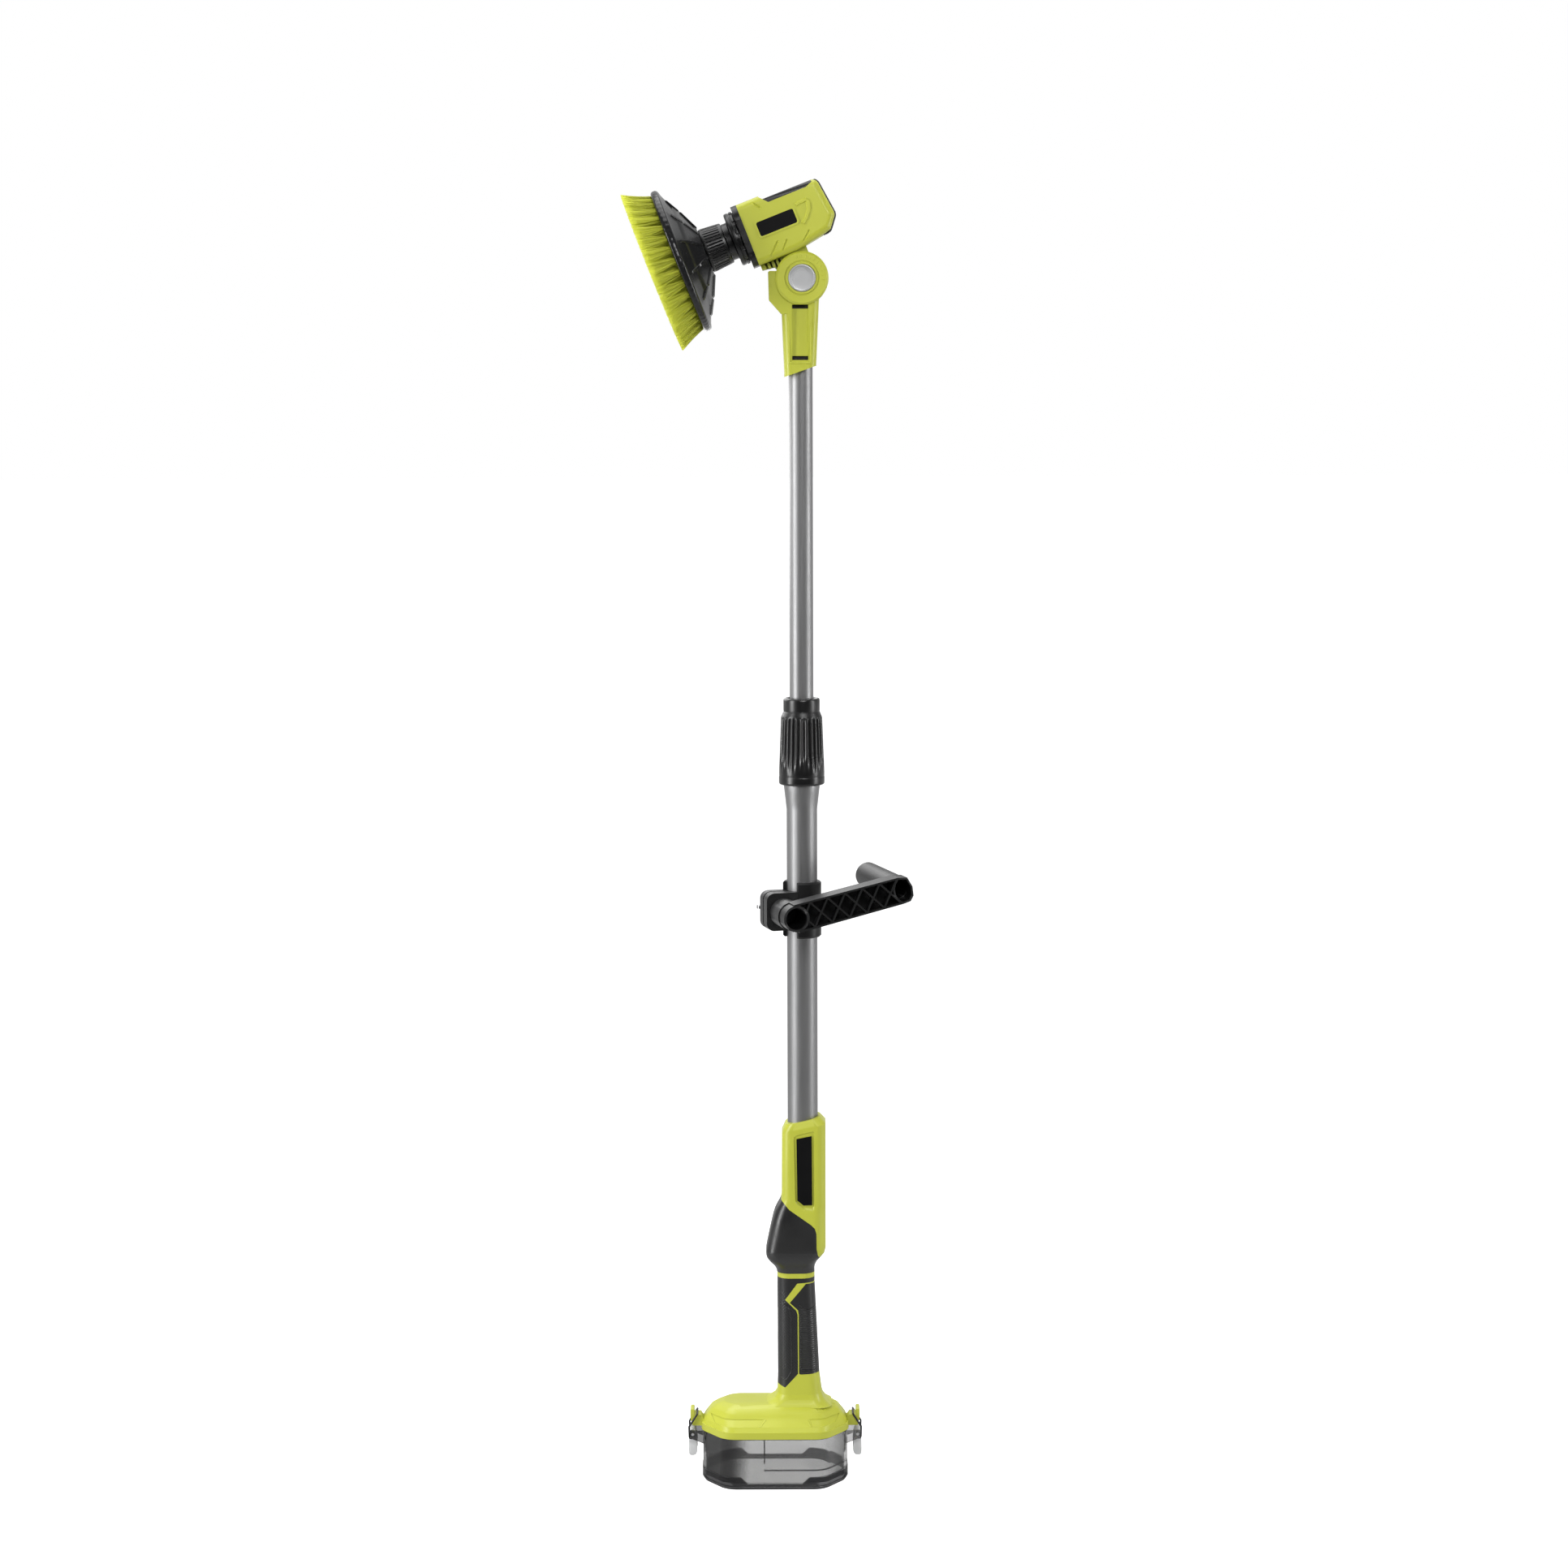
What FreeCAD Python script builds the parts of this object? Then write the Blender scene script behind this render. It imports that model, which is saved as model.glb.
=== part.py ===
import FreeCAD, Part
import math
import os

# Cordless telescopic scrubber: a battery base, two telescoping poles and a tilting brush head.
# Millimetres, +Z up, brush towards -X. The origin is on the pole line, on the floor that the bin stands on.

V = FreeCAD.Vector

# Whole machine
PIVOT_X = 1.5
PIVOT_Z = 1230.0
HEAD_DIP_DEG = 21.5
CUT_OVER = 60.0
SEAT_GAP = 0.1
RUN_GAP = 0.05
FREE_GAP = 0.3
CLOSE_SHARE = 0.0001

# Battery bin
BIN_X = -29.5
BIN_HALF_X = 74.5
BIN_HALF_Y = 48.5
BIN_CORNER_X = 24.0
BIN_CORNER_Y = 33.0
BIN_CORNER_ROUND = 22.0
BIN_TOP = 52.8
BIN_WALL = 2.6
BIN_FLOOR = 3.0
FOOT_RISE = 4.0
FOOT_INSET = 2.5
BAND_THICK = 0.7
BAND_LOW = 6.9
BAND_HIGH = 13.2
BAND_STEP_HALF = 28.3
BAND_SLOPE = 7.2
RIB_THICK = 1.2
RIB_X = -41.0
RIB_DEPTH = 2.0

# Lid
GASKET_THICK = 1.0
RIM_PROUD = 1.5
RIM_HEIGHT = 7.0
LID_WALL = 2.4
LID_EDGE_RISE = 4.2
LID_EDGE_INSET = 3.0
LID_SLOPE_RISE = 10.2
LID_SLOPE_INSET = 12.0
LID_SHOULDER_RISE = 14.7
LID_SHOULDER_INSET = 16.0
LID_HUMP_RISE = 18.2
LID_HUMP_INSET = 21.0
LID_CREST_RISE = 20.7
LID_CREST_INSET = 28.0
SADDLE_LEFT = -45.0
SADDLE_RIGHT = 29.0
SADDLE_HALF_Y = 26.0
SADDLE_CORNER = 14.0
SADDLE_SIDE_SHARES = ((0.0, 0.0), (0.12, 0.02), (0.55, 0.3), (0.85, 0.62), (1.0, 1.0))
PANEL_DEPTH = 0.8
PANEL_START = 4.6
PANEL_HALF = 36.0
PLATEAU_LOW_HALF = 27.0
PLATEAU_HIGH_HALF = 21.0

# Latches at both ends of the bin
LEVER_OUT = 10.7
LEVER_Z = 48.0
LEVER_HUB_R = 4.0
LEVER_HALF_Y = 8.8
LEVER_TAB_DROP = 24.0
LEVER_TAB_THICK = 2.6
LEVER_TAB_OFFSET = 1.4
BAIL_OFFSET = 3.5
BAIL_WIRE_R = 1.0
BAIL_HALF_Y = 10.3
BAIL_BAR_IN = 4.6
BAIL_PIN_REACH = 4.0
BAIL_KNEE_OUT = 3.8
BAIL_KNEE_UP = 7.0
EAR_HALF_Y = 8.3
EAR_THICK = 4.0
EAR_TOP = 73.0
EAR_WEB_TOP = 67.0
EAR_GAP = 1.9
BRACKET_IN = 11.9
BRACKET_OUT = 14.4
BRACKET_DROP = 5.0
LATCH_PIN_R = 1.5

# Battery socket under the lid
SOCKET_X = -12.0
SOCKET_HALF_X = 16.0
SOCKET_HALF_Y = 17.6
SOCKET_WALL = 2.5
SOCKET_BOTTOM = 56.0
SOCKET_FLOOR = 4.0
BLADE_THICK = 0.8
BLADE_HALF_X = 4.0
BLADE_DROP = 14.0
BLADE_PITCH = 8.0
BLADE_COUNT = 4

# Main handle shells: heights, left and right edges, half widths and corner radii
NECK_Z = 91.5
NECK_LEFT = -27.0
NECK_RIGHT = 19.0
NECK_HALF = 20.0
GRIP_LOW_Z = 110.0
GRIP_LOW_LEFT = -26.4
GRIP_LOW_RIGHT = 16.6
GRIP_LOW_HALF = 19.0
GRIP_TOP_Z = 209.0
GRIP_TOP_LEFT = -26.7
GRIP_TOP_RIGHT = 11.8
GRIP_TOP_HALF = 17.5
RING_LOW_Z = 214.0
RING_TOP_Z = 218.0
BULGE_FOOT_Z = 224.5
BULGE_FOOT_LEFT = -29.0
BULGE_FOOT_RIGHT = 11.9
BULGE_FOOT_HALF = 19.0
BULGE_LOW_Z = 230.6
BULGE_LOW_LEFT = -34.2
BULGE_LOW_RIGHT = 14.0
BULGE_LOW_HALF = 21.8
BULGE_TURN_Z = 235.0
BULGE_TURN_LEFT = -37.2
BULGE_TURN_RIGHT = 17.8
BULGE_TURN_HALF = 23.0
BULGE_Z = 240.0
BULGE_LEFT = -38.1
BULGE_RIGHT = 21.8
BULGE_HALF = 23.5
BULGE_TOP_Z = 246.0
BULGE_TOP_LEFT = -37.3
BULGE_TOP_RIGHT = 23.3
BULGE_TOP_HALF = 23.5
WAIST_Z = 271.0
WAIST_LEFT = -32.0
WAIST_RIGHT = 23.3
WAIST_HALF = 22.5
CREST_BEND_Z = 283.0
CREST_BEND_LEFT = -28.6
CREST_BEND_RIGHT = 23.3
CREST_BEND_HALF = 21.8
COVER_TIP_Z = 292.0
COVER_TIP_LEFT = -23.6
COVER_TIP_RIGHT = 23.3
COVER_TIP_HALF = 21.2
BARREL_Z = 297.0
BARREL_LEFT = -21.9
BARREL_RIGHT = 23.3
BARREL_HALF = 21.0
BARREL_TOP_Z = 370.5
BARREL_TOP_LEFT = -21.4
BARREL_TOP_RIGHT = 23.3
BARREL_TOP_HALF = 20.5
LIP_Z = 378.2
LIP_HALF_X = 17.7
LIP_HALF_Y = 17.0
LIP_TILT_SHARE = 0.22
SHELL_CORNER = 13.0
BARREL_CORNER = 10.0
SHELL_WALL = 2.6
PAD_THICK = 1.5
CAVITY_LOW = 224.0
CAVITY_TOP = 284.0

# Soft cover and grip pads: their edges in the side view, as shares of the bulge and of the grip
COVER_SHARES = ((0.132, 1.051), (0.285, 0.968), (0.393, 0.873), (0.751, 0.677), (0.816, 0.627),
                (0.842, 0.557), (0.845, 0.354), (0.868, 0.266), (0.922, 0.184), (1.3, 0.101), (1.3, 0.013),
                (-0.4, 0.013), (-0.4, 1.051))
FRONT_PAD_SHARES = ((-0.8, 1.0), (1.6, 1.0), (1.6, 0.956), (0.654, 0.954), (0.473, 0.948), (0.185, 0.783),
                    (0.446, 0.677), (0.48, 0.635), (0.487, 0.035), (0.178, -0.105), (0.005, -0.077),
                    (-0.8, -0.077))
REAR_PAD_SHARES = ((1.6, 0.947), (0.677, 0.944), (0.296, 0.754), (0.487, 0.679), (0.506, 0.635),
                   (0.51, 0.035),
                   (0.552, 0.027), (1.6, 0.048))

# Bare badge plate on the barrel
PLATE_DEPTH = 1.2
PLATE_SHARES = ((0.338, 0.888), (0.681, 0.924), (0.692, 0.105), (0.493, 0.1), (0.358, 0.158))
PLATE_PROUD = 0.3

# Trigger and switch
TRIGGER_Z = 165.5
TRIGGER_HALF_Z = 15.0
TRIGGER_HALF_Y = 6.5
TRIGGER_FACE = -25.0
TRIGGER_DEPTH = 11.0
TRIGGER_TRAVEL = 4.0
TRIGGER_DISH = 1.6
SPRING_R = 4.0
SPRING_WIRE = 0.9
SPRING_POCKET = 5.0
SWITCH_LENGTH = 14.0
SWITCH_HALF_Y = 7.0
SWITCH_HALF_Z = 12.0

# Poles
OUTER_R = 15.5
OUTER_WALL = 1.5
OUTER_BOTTOM = 288.0
FLARE_LOW_Z = 698.0
FLARE_HIGH_Z = 722.0
FLARE_R = 18.2
OUTER_TOP = 745.0
INNER_R = 12.0
INNER_WALL = 1.2
INNER_BOTTOM = 655.0
INNER_TOP = 1182.0
BUSH_LENGTH = 32.0
SLEEVE_TOP = 772.0
SLEEVE_SPIGOT_R = 17.4
COLLET_WALL = 2.6
COLLET_TOP = 799.0
COLLET_FLARE = 1.6
COLLET_SLOTS = 4
COLLET_SLOT = 1.5
COLLAR_LOW_Z = 723.5
COLLAR_TOP = 811.0
COLLAR_BAND_R = 23.1
COLLAR_BAND_TOP = 732.0
COLLAR_BELLY_R = 23.0
COLLAR_BELLY_Z = 740.0
COLLAR_SHOULDER_R = 20.9
COLLAR_SHOULDER_Z = 792.0
COLLAR_RING_R = 18.4
COLLAR_RING_Z = 798.0
COLLAR_FLUTES = 20
COLLAR_FLUTE_R = 1.6
COLLAR_SKIRT_GAP = 0.6
COLLAR_MOUTH_GAP = 2.2
COLLAR_EDGE = 1.4

# Auxiliary handle, in a frame turned about the pole
AUX_TURN_DEG = 16.6
CLAMP_LOW_Z = 567.5
CLAMP_TOP = 624.5
CLAMP_WALL = 4.0
CLAMP_LEFT = -9.5
CLAMP_BACK = 3.0
CLAMP_EDGE = 1.6
FLANGE_LOW_Z = 577.0
FLANGE_TOP = 615.5
FLANGE_LEFT = -42.5
FLANGE_NEAR = -17.5
FLANGE_FAR = 7.0
FLANGE_GAP_MIDDLE = -4.5
FLANGE_GAP = 1.3
FLANGE_CORNER = 8.0
BOLT_X = -24.7
BOLT_Z = 596.0
BOLT_R = 3.0
BOLT_HEAD_R = 6.5
BOLT_HEAD_HEIGHT = 3.5
BOLT_END = 24.0
WASHER_R = 6.2
WASHER_THICK = 1.6
WING_HUB_R = 5.8
WING_HUB_LENGTH = 8.0
WING_SPAN = 16.5
WING_TIP_REACH = 17.5
WING_RISE = 11.0
WING_ROUND = 2.4
WING_OUTER_SHARE = 0.6
WING_THICK = 3.2
STUB_R = 14.4
STUB_BORE_R = 11.0
STUB_FLOOR = 5.0
ARM_FRONT = -63.0
ARM_DEPTH = 20.0
ARM_LENGTH = 113.0
ARM_RISE_DEG = 12.0
ARM_HALF = 14.6
ARM_END_HALF = 13.8
ARM_WALL = 2.0
ARM_FLOOR = 3.0
ARM_END_SHARES = ((-0.08, -1.0), (0.5, -0.94), (0.8, -0.6), (0.86, 0.1), (0.6, 0.84), (-0.1, 1.0))
LATTICE_RIB = 1.8
LATTICE_DEPTH = 7.0
LATTICE_PITCH = 18.6
LATTICE_START = -1.4
BOSS_WALL = 2.3
END_POCKET_R = 14.1
END_POCKET_OFFSET = 7.0
LATTICE_CELLS = 6
GRIP_R = 13.2
GRIP_BACK = 48.0
GRIP_WALL = 2.6

# Fork at the top of the inner pole
LUG_R = 23.0
LUG_HALF = 12.0
FORK_GAP = 0.35
CHEEK_OUT = 19.0
RING_OUT = 23.0
RING_R = 26.3
RING_ROUND = 2.0
STEM_HALF = 18.0
STEM_CORNER = 8.0
STEM_LOW_Z = 1138.0
STEM_CUT_LEFT = 1132.5
STEM_CUT_RIGHT = 1143.5
STEM_LOW_LEFT = -16.4
STEM_LOW_RIGHT = 15.2
STEM_HIGH_LEFT = -19.4
STEM_HIGH_RIGHT = 18.4
STEM_HIGH_Z = 1210.0
HORN_SHARES = ((-1.281, 0.266), (-1.251, -0.817), (-0.795, -1.331), (0.0, -1.331), (0.0, 0.266))
WINDOW_LEFT = -8.6
WINDOW_RIGHT = 7.6
WINDOW_LOW_Z = 1149.5
WINDOW_TOP = 1204.0
WINDOW_DEPTH = 1.8
WINDOW_SLOT = 4.0
BUTTON_R = 13.5
BUTTON_PROUD = 1.2
BUTTON_LENGTH = 7.0
BUTTON_WALL = 2.4
BUTTON_SPRING_R = 9.5
BUTTON_SPRING_WIRE = 1.4
PIVOT_R = 4.0
PIVOT_HEAD_R = 8.0
PIVOT_HEAD = 4.0
NUT_R = 6.4
NUT_THICK = 3.2

# Head, in its own frame: X back along the drive line, Z away from the pivot
DRIVE_W = 60.0
HEAD_FRONT = -34.6
HEAD_BOTTOM_FRONT = 26.8
HEAD_BOTTOM_BEND_U = 5.0
HEAD_BOTTOM_REAR_U = 34.9
HEAD_BOTTOM_REAR_W = 31.6
HEAD_HEEL_U = 43.8
HEAD_HEEL_W = 34.0
HEAD_REAR_U = 53.5
HEAD_REAR_W = 46.2
HEAD_CROWN_U = 48.6
HEAD_CROWN_W = 83.5
HEAD_CROWN_IN_U = 43.0
HEAD_CROWN_TOP_W = 86.2
HEAD_TOP_W = 90.0
HEAD_HALF = 27.0
HEAD_ROUND = 7.0
HEAD_WALL = 2.6
INSERT_START_U = -11.0
INSERT_SLOPE_U = -3.8
INSERT_W = 80.8
INSERT_PROUD = 1.0
INSERT_TOP_DROP = 4.4
BAND_HALF = 12.0
BUMPER_PROUD = 1.6
BUMPER_SUNK = 1.4
HEAD_BADGE_LEFT = -22.7
HEAD_BADGE_RIGHT = 16.2
HEAD_BADGE_LOW = 52.0
HEAD_BADGE_HIGH = 66.4
BADGE_FRAME = 1.8
BADGE_RAISE = 0.8
BADGE_THICK = 0.9
BADGE_CORNER = 2.0
FLANGE_LENGTH = 5.9
FLANGE_TOP_W = 90.5
FLANGE_LOW_W = 26.6
FLANGE_HALF_Y = 28.0
FLANGE_ROUND = 16.0
NOSE_GAP = 0.9
NOSE_R = 27.0
NOSE_LENGTH = 8.6
NOSE_NECK_R = 18.6
NOSE_NECK_LENGTH = 5.5
NOSE_GROOVE = 1.6
MOTOR_R = 18.0
MOTOR_LENGTH = 46.0
MOTOR_FRONT = -8.0
GEARBOX_R = 22.0
SPINDLE_R = 5.0
BEARING_R = 11.0
BEARING_LENGTH = 7.0
LUG_FRONT_U = -33.5
LUG_FRONT_W = 21.5
LUG_STEP_U = -21.0
LUG_STEP_W = 19.8
LUG_ROOT_U = 15.5
LUG_ROOT_W = 14.0
FIN_SLOTS = 4
FIN_SLOT = 1.8
FIN_PITCH = 4.6
FIN_DEPTH = 4.0

# Brush
COLLAR_REAR_U = -56.0
COLLAR_FRONT_U = -79.0
COLLAR_REAR_R = 20.3
COLLAR_FRONT_R = 22.3
COLLAR_RIBS = 36
COLLAR_RIB_R = 0.7
DISC_HUB_U = -80.6
DISC_HUB_R = 26.8
DISC_SLOPE_U = -90.6
DISC_SLOPE_R = 48.7
DISC_STEP_U = -93.6
DISC_STEP_R = 53.5
DISC_EDGE_U = -102.0
DISC_R = 73.7
DISC_ROOT_U = -109.0
DISC_WALL = 3.0
DISC_RIBS = 12
DISC_RIB_HALF = 1.6
DISC_RIB_RISE = 1.6
TUFT_ROOT_R = 70.3
TUFT_TIP_R = 83.3
TUFT_LENGTH = 28.0
TUFT_COUNT = 30
TUFT_NOTCH = 3.2
TUFT_NOTCH_SHARE = 0.72

# Shell screws
SCREW_R = 1.6
SCREW_HEAD_R = 3.0
SCREW_HEAD = 1.8
SCREW_LENGTH = 16.0
GRIP_SCREW_SHARES = ((0.3, 0.459), (0.51, 0.872), (1.145, 1.147))
HEAD_SCREW_SHARES = ((-0.523, 0.939), (0.822, 0.822), (0.85, 0.511))
STEM_SCREW_X = -9.0
STEM_SCREW_Z = 1193.0
LID_SCREW_R = 2.0
LID_SCREW_LENGTH = 22.0
LID_SCREW_X = 9.0
LID_SCREW_Y = 12.0

# Heights that follow from the sizes above
LID_LOW = BIN_TOP + GASKET_THICK
RIM_TOP = LID_LOW + RIM_HEIGHT
CREST_Z = RIM_TOP + LID_CREST_RISE
BUTTON_FRONT = -RING_OUT - BUTTON_PROUD
LEVER_X = BIN_HALF_X + LEVER_OUT
BAIL_BAR_X = LEVER_X - BAIL_BAR_IN
BAIL_BAR_Z = EAR_WEB_TOP + BAIL_WIRE_R + FREE_GAP


def save(name, shape):
    """Write one piece to its own file."""
    if not shape.isValid():
        shape.fix(SEAT_GAP, SEAT_GAP, SEAT_GAP)
    print(name, len(shape.Solids), "solids", round(shape.Volume), "valid", shape.isValid())
    shape.exportStep("parts/" + name + ".step")


def rounded_wire(points, radii):
    """Closed wire through corner points in one plane, each corner rounded by its radius."""
    starts = []
    ends = []
    arcs = []
    count = len(points)
    for i in range(count):
        corner = points[i]
        back = (points[i - 1] - corner).normalize()
        ahead = (points[(i + 1) % count] - corner).normalize()
        radius = radii[i]
        if radius <= 0:
            starts.append(corner)
            ends.append(corner)
            arcs.append(None)
            continue
        half = back.getAngle(ahead) / 2
        reach = radius / math.tan(half)
        first = corner + back * reach
        last = corner + ahead * reach
        inward = (back + ahead).normalize()
        middle = corner + inward * (radius / math.sin(half) - radius)
        starts.append(first)
        ends.append(last)
        arcs.append(Part.Arc(first, middle, last).toShape())
    edges = []
    for i in range(count):
        if arcs[i]:
            edges.append(arcs[i])
        following = starts[(i + 1) % count]
        if ends[i].distanceToPoint(following) > RUN_GAP * CLOSE_SHARE:
            edges.append(Part.makeLine(ends[i], following))
    return Part.Wire(edges)


def side_plate(points, y_from, y_to, radius=0):
    """Solid of an outline in the XZ plane, from one Y to another. The radius may be one for each corner."""
    corners = [V(x, y_from, z) for x, z in points]
    radii = radius if isinstance(radius, (list, tuple)) else [radius] * len(corners)
    face = Part.Face(rounded_wire(corners, radii))
    return face.extrude(V(0, y_to - y_from, 0))


def spread(shares, left, right, low, high):
    """Points of a side view from shares of a width and of a height."""
    return [(left + (right - left) * across, low + (high - low) * up) for across, up in shares]


def level(left, right, half_y, corner, z, tilt=0):
    """Rounded rectangle at one height, or on a plane that rises towards +X by a share."""
    low = z + left * tilt
    high = z + right * tilt
    points = [V(left, -half_y, low), V(right, -half_y, high), V(right, half_y, high), V(left, half_y, low)]
    return rounded_wire(points, [corner] * len(points))


def stack(levels):
    """Solid through a list of levels, straight between them."""
    return Part.makeLoft([level(*sizes) for sizes in levels], True, True)


def box(x_from, x_to, y_from, y_to, z_from, z_to):
    """Plain block between two corners."""
    return Part.makeBox(x_to - x_from, y_to - y_from, z_to - z_from, V(x_from, y_from, z_from))


def rod(radius, start, end):
    """Cylinder from one point to another."""
    along = end - start
    return Part.makeCylinder(radius, along.Length, start, along)


def tube(outer, inner, start, end):
    """Round tube from one point to another."""
    return rod(outer, start, end).cut(rod(inner, start, end))


def turned(points, base, axis, across):
    """Solid of revolution. Points are (radius, distance along the axis)."""
    corners = [base + across * r + axis * a for r, a in points]
    face = Part.Face(Part.makePolygon(corners + [corners[0]]))
    return face.revolve(base, axis, 360)


def turned_z(points):
    """Solid turned about the pole line, points as (radius, z)."""
    return turned(points, V(0, 0, 0), V(0, 0, 1), V(1, 0, 0))


def turned_drive(points):
    """Solid turned about the drive line of the head, points as (radius, u)."""
    return turned(points, V(0, 0, DRIVE_W), V(1, 0, 0), V(0, 0, 1))


def near_half(shape):
    """The half of a shape on the viewer's side of the split plane."""
    size = PIVOT_Z
    return shape.common(box(-size, size, -size, 0, -size, size + size))


def far_half(shape):
    """The half of a shape behind the split plane."""
    size = PIVOT_Z
    return shape.common(box(-size, size, 0, size, -size, size + size))


def mirrored_x(shape, centre):
    """Mirror image across the plane X = centre."""
    return shape.mirror(V(centre, 0, 0), V(1, 0, 0))


def head_placed(shape):
    """Move a piece from the head's own frame to its place on the fork."""
    moved = shape.copy()
    moved.rotate(V(0, 0, 0), V(0, 1, 0), -HEAD_DIP_DEG)
    moved.translate(V(PIVOT_X, 0, PIVOT_Z))
    return moved


def aux_placed(shape):
    """Turn a piece of the auxiliary handle about the pole."""
    moved = shape.copy()
    moved.rotate(V(0, 0, 0), V(0, 0, 1), AUX_TURN_DEG)
    return moved


def chamfered_wire(left, right, half_y, reach_x, reach_y, radius, z):
    """Eight-sided outline at one height: slanted corners of a given reach, with every corner rounded."""
    points = [V(left + reach_x, -half_y, z), V(right - reach_x, -half_y, z), V(right, reach_y - half_y, z),
              V(right, half_y - reach_y, z), V(right - reach_x, half_y, z), V(left + reach_x, half_y, z),
              V(left, half_y - reach_y, z), V(left, reach_y - half_y, z)]
    return rounded_wire(points, [radius] * len(points))


def bin_level(inset, z):
    """Outline of the bin at one height, drawn in by an inset all round."""
    slant = math.hypot(1 / BIN_CORNER_X, 1 / BIN_CORNER_Y)
    reach_x = BIN_CORNER_X + inset * (BIN_CORNER_X * slant - BIN_CORNER_X / BIN_CORNER_Y - 1)
    reach_y = BIN_CORNER_Y + inset * (BIN_CORNER_Y * slant - BIN_CORNER_Y / BIN_CORNER_X - 1)
    radius = BIN_CORNER_ROUND * (reach_x / BIN_CORNER_X)
    return chamfered_wire(BIN_X - BIN_HALF_X + inset, BIN_X + BIN_HALF_X - inset, BIN_HALF_Y - inset, reach_x,
                          reach_y,
                          radius, z)


def bin_stack(levels):
    """Solid through outlines of the bin, given as (inset, height)."""
    return Part.makeLoft([bin_level(inset, z) for inset, z in levels], True, True)


def bin_form(inset, low):
    """Outer form of the bin, drawn in by an inset, from a given height."""
    rise = max(FOOT_RISE, low + FOOT_RISE)
    return bin_stack([(inset + FOOT_INSET, low), (inset, rise), (inset, BIN_TOP)])


def band_outline():
    """Side outline of the raised foot band: low in the middle and tall at both ends."""
    left = BIN_X - BIN_HALF_X - CUT_OVER
    right = BIN_X + BIN_HALF_X + CUT_OVER
    step = BAND_STEP_HALF
    return ((left, 0), (right, 0), (right, BAND_HIGH), (BIN_X + step + BAND_SLOPE, BAND_HIGH),
            (BIN_X + step, BAND_LOW), (BIN_X - step, BAND_LOW), (BIN_X - step - BAND_SLOPE, BAND_HIGH),
            (left, BAND_HIGH))


def lever_bracket():
    """Two cheeks on the right end of the bin that hold the latch pin."""
    inner = BIN_X + BIN_HALF_X - BIN_WALL / 2
    outer = BIN_X + LEVER_X + LEVER_HUB_R
    low = LEVER_Z - BRACKET_DROP
    high = LEVER_Z + LEVER_HUB_R
    outline = ((inner, low - BRACKET_DROP), (outer - LEVER_HUB_R, low), (outer, low), (outer, high),
               (inner, high))
    pair = None
    for side in (-1, 1):
        cheek = side_plate(outline, side * BRACKET_IN, side * BRACKET_OUT,
                           [0, 0, LEVER_HUB_R / 2, LEVER_HUB_R / 2, 0])
        pair = cheek if pair is None else pair.fuse(cheek)
    pin = V(BIN_X + LEVER_X, 0, LEVER_Z)
    reach = V(0, CUT_OVER, 0)
    return pair.cut(rod(LATCH_PIN_R + SEAT_GAP / 2, pin - reach, pin + reach))


def make_bin():
    """Clear bin with its raised foot band, an inner rib and the latch brackets."""
    outer = bin_form(0, 0)
    band = bin_form(-BAND_THICK,
                    0).common(side_plate(band_outline(), -BIN_HALF_Y - CUT_OVER, BIN_HALF_Y + CUT_OVER))
    solid = outer.fuse(band)
    right = lever_bracket()
    solid = solid.fuse(right).fuse(mirrored_x(right, BIN_X))
    inner = bin_form(BIN_WALL, BIN_FLOOR)
    solid = solid.cut(inner)
    rib_low = BIN_FLOOR - SEAT_GAP
    rib_y = BIN_HALF_Y - BIN_WALL
    rib = box(RIB_X, RIB_X + RIB_THICK, -rib_y - SEAT_GAP, RIB_DEPTH - rib_y, rib_low + FOOT_RISE,
              BIN_TOP - FOOT_RISE)
    return solid.fuse(rib).removeSplitter()


def make_gasket():
    """Flat seal between the bin and the lid."""
    outer = bin_stack([(0, BIN_TOP), (0, LID_LOW)])
    inner = bin_stack([(BIN_WALL, BIN_TOP), (BIN_WALL, LID_LOW)])
    return outer.cut(inner)


def lid_form(inset, drop):
    """Domed form of the lid, drawn in and lowered by a wall."""
    levels = [(inset, LID_LOW - (CUT_OVER if drop else 0)), (inset, RIM_TOP - drop)]
    shape = ((LID_EDGE_INSET, LID_EDGE_RISE), (LID_SLOPE_INSET, LID_SLOPE_RISE),
             (LID_SHOULDER_INSET, LID_SHOULDER_RISE), (LID_HUMP_INSET, LID_HUMP_RISE),
             (LID_CREST_INSET, LID_CREST_RISE))
    for draw, rise in shape:
        levels.append((inset + draw, RIM_TOP + rise - drop))
    return bin_stack(levels)


def neck_saddle(inset, drop):
    """Smooth rise on the lid that carries the handle."""
    low = RIM_TOP + LID_HUMP_RISE - drop
    rise = NECK_Z - drop - low
    levels = []
    for draw, lift in SADDLE_SIDE_SHARES:
        left = SADDLE_LEFT + (NECK_LEFT - SADDLE_LEFT) * draw
        right = SADDLE_RIGHT + (NECK_RIGHT - SADDLE_RIGHT) * draw
        half = SADDLE_HALF_Y + (NECK_HALF - SADDLE_HALF_Y) * draw
        corner = SADDLE_CORNER + (SHELL_CORNER - SADDLE_CORNER) * draw
        levels.append((left + inset, right - inset, half - inset, corner - inset, low + rise * lift))
    return stack(levels)


def lid_ear():
    """Hooked ear on the right end of the lid that the wire bail catches."""
    inner = BIN_X + BIN_HALF_X - LID_WALL / 2
    face = BIN_X + BAIL_BAR_X + BAIL_WIRE_R + EAR_GAP
    outer = face + EAR_THICK
    low = LID_LOW + EAR_GAP
    outline = ((inner, low), (face + EAR_THICK / 2, low), (outer, EAR_WEB_TOP - EAR_THICK), (outer, EAR_TOP),
               (face, EAR_TOP), (face, EAR_WEB_TOP), (inner, EAR_WEB_TOP))
    return side_plate(outline, -EAR_HALF_Y, EAR_HALF_Y, [0, 0, 0, EAR_THICK / 3, EAR_THICK / 3, 0, 0])


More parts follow.
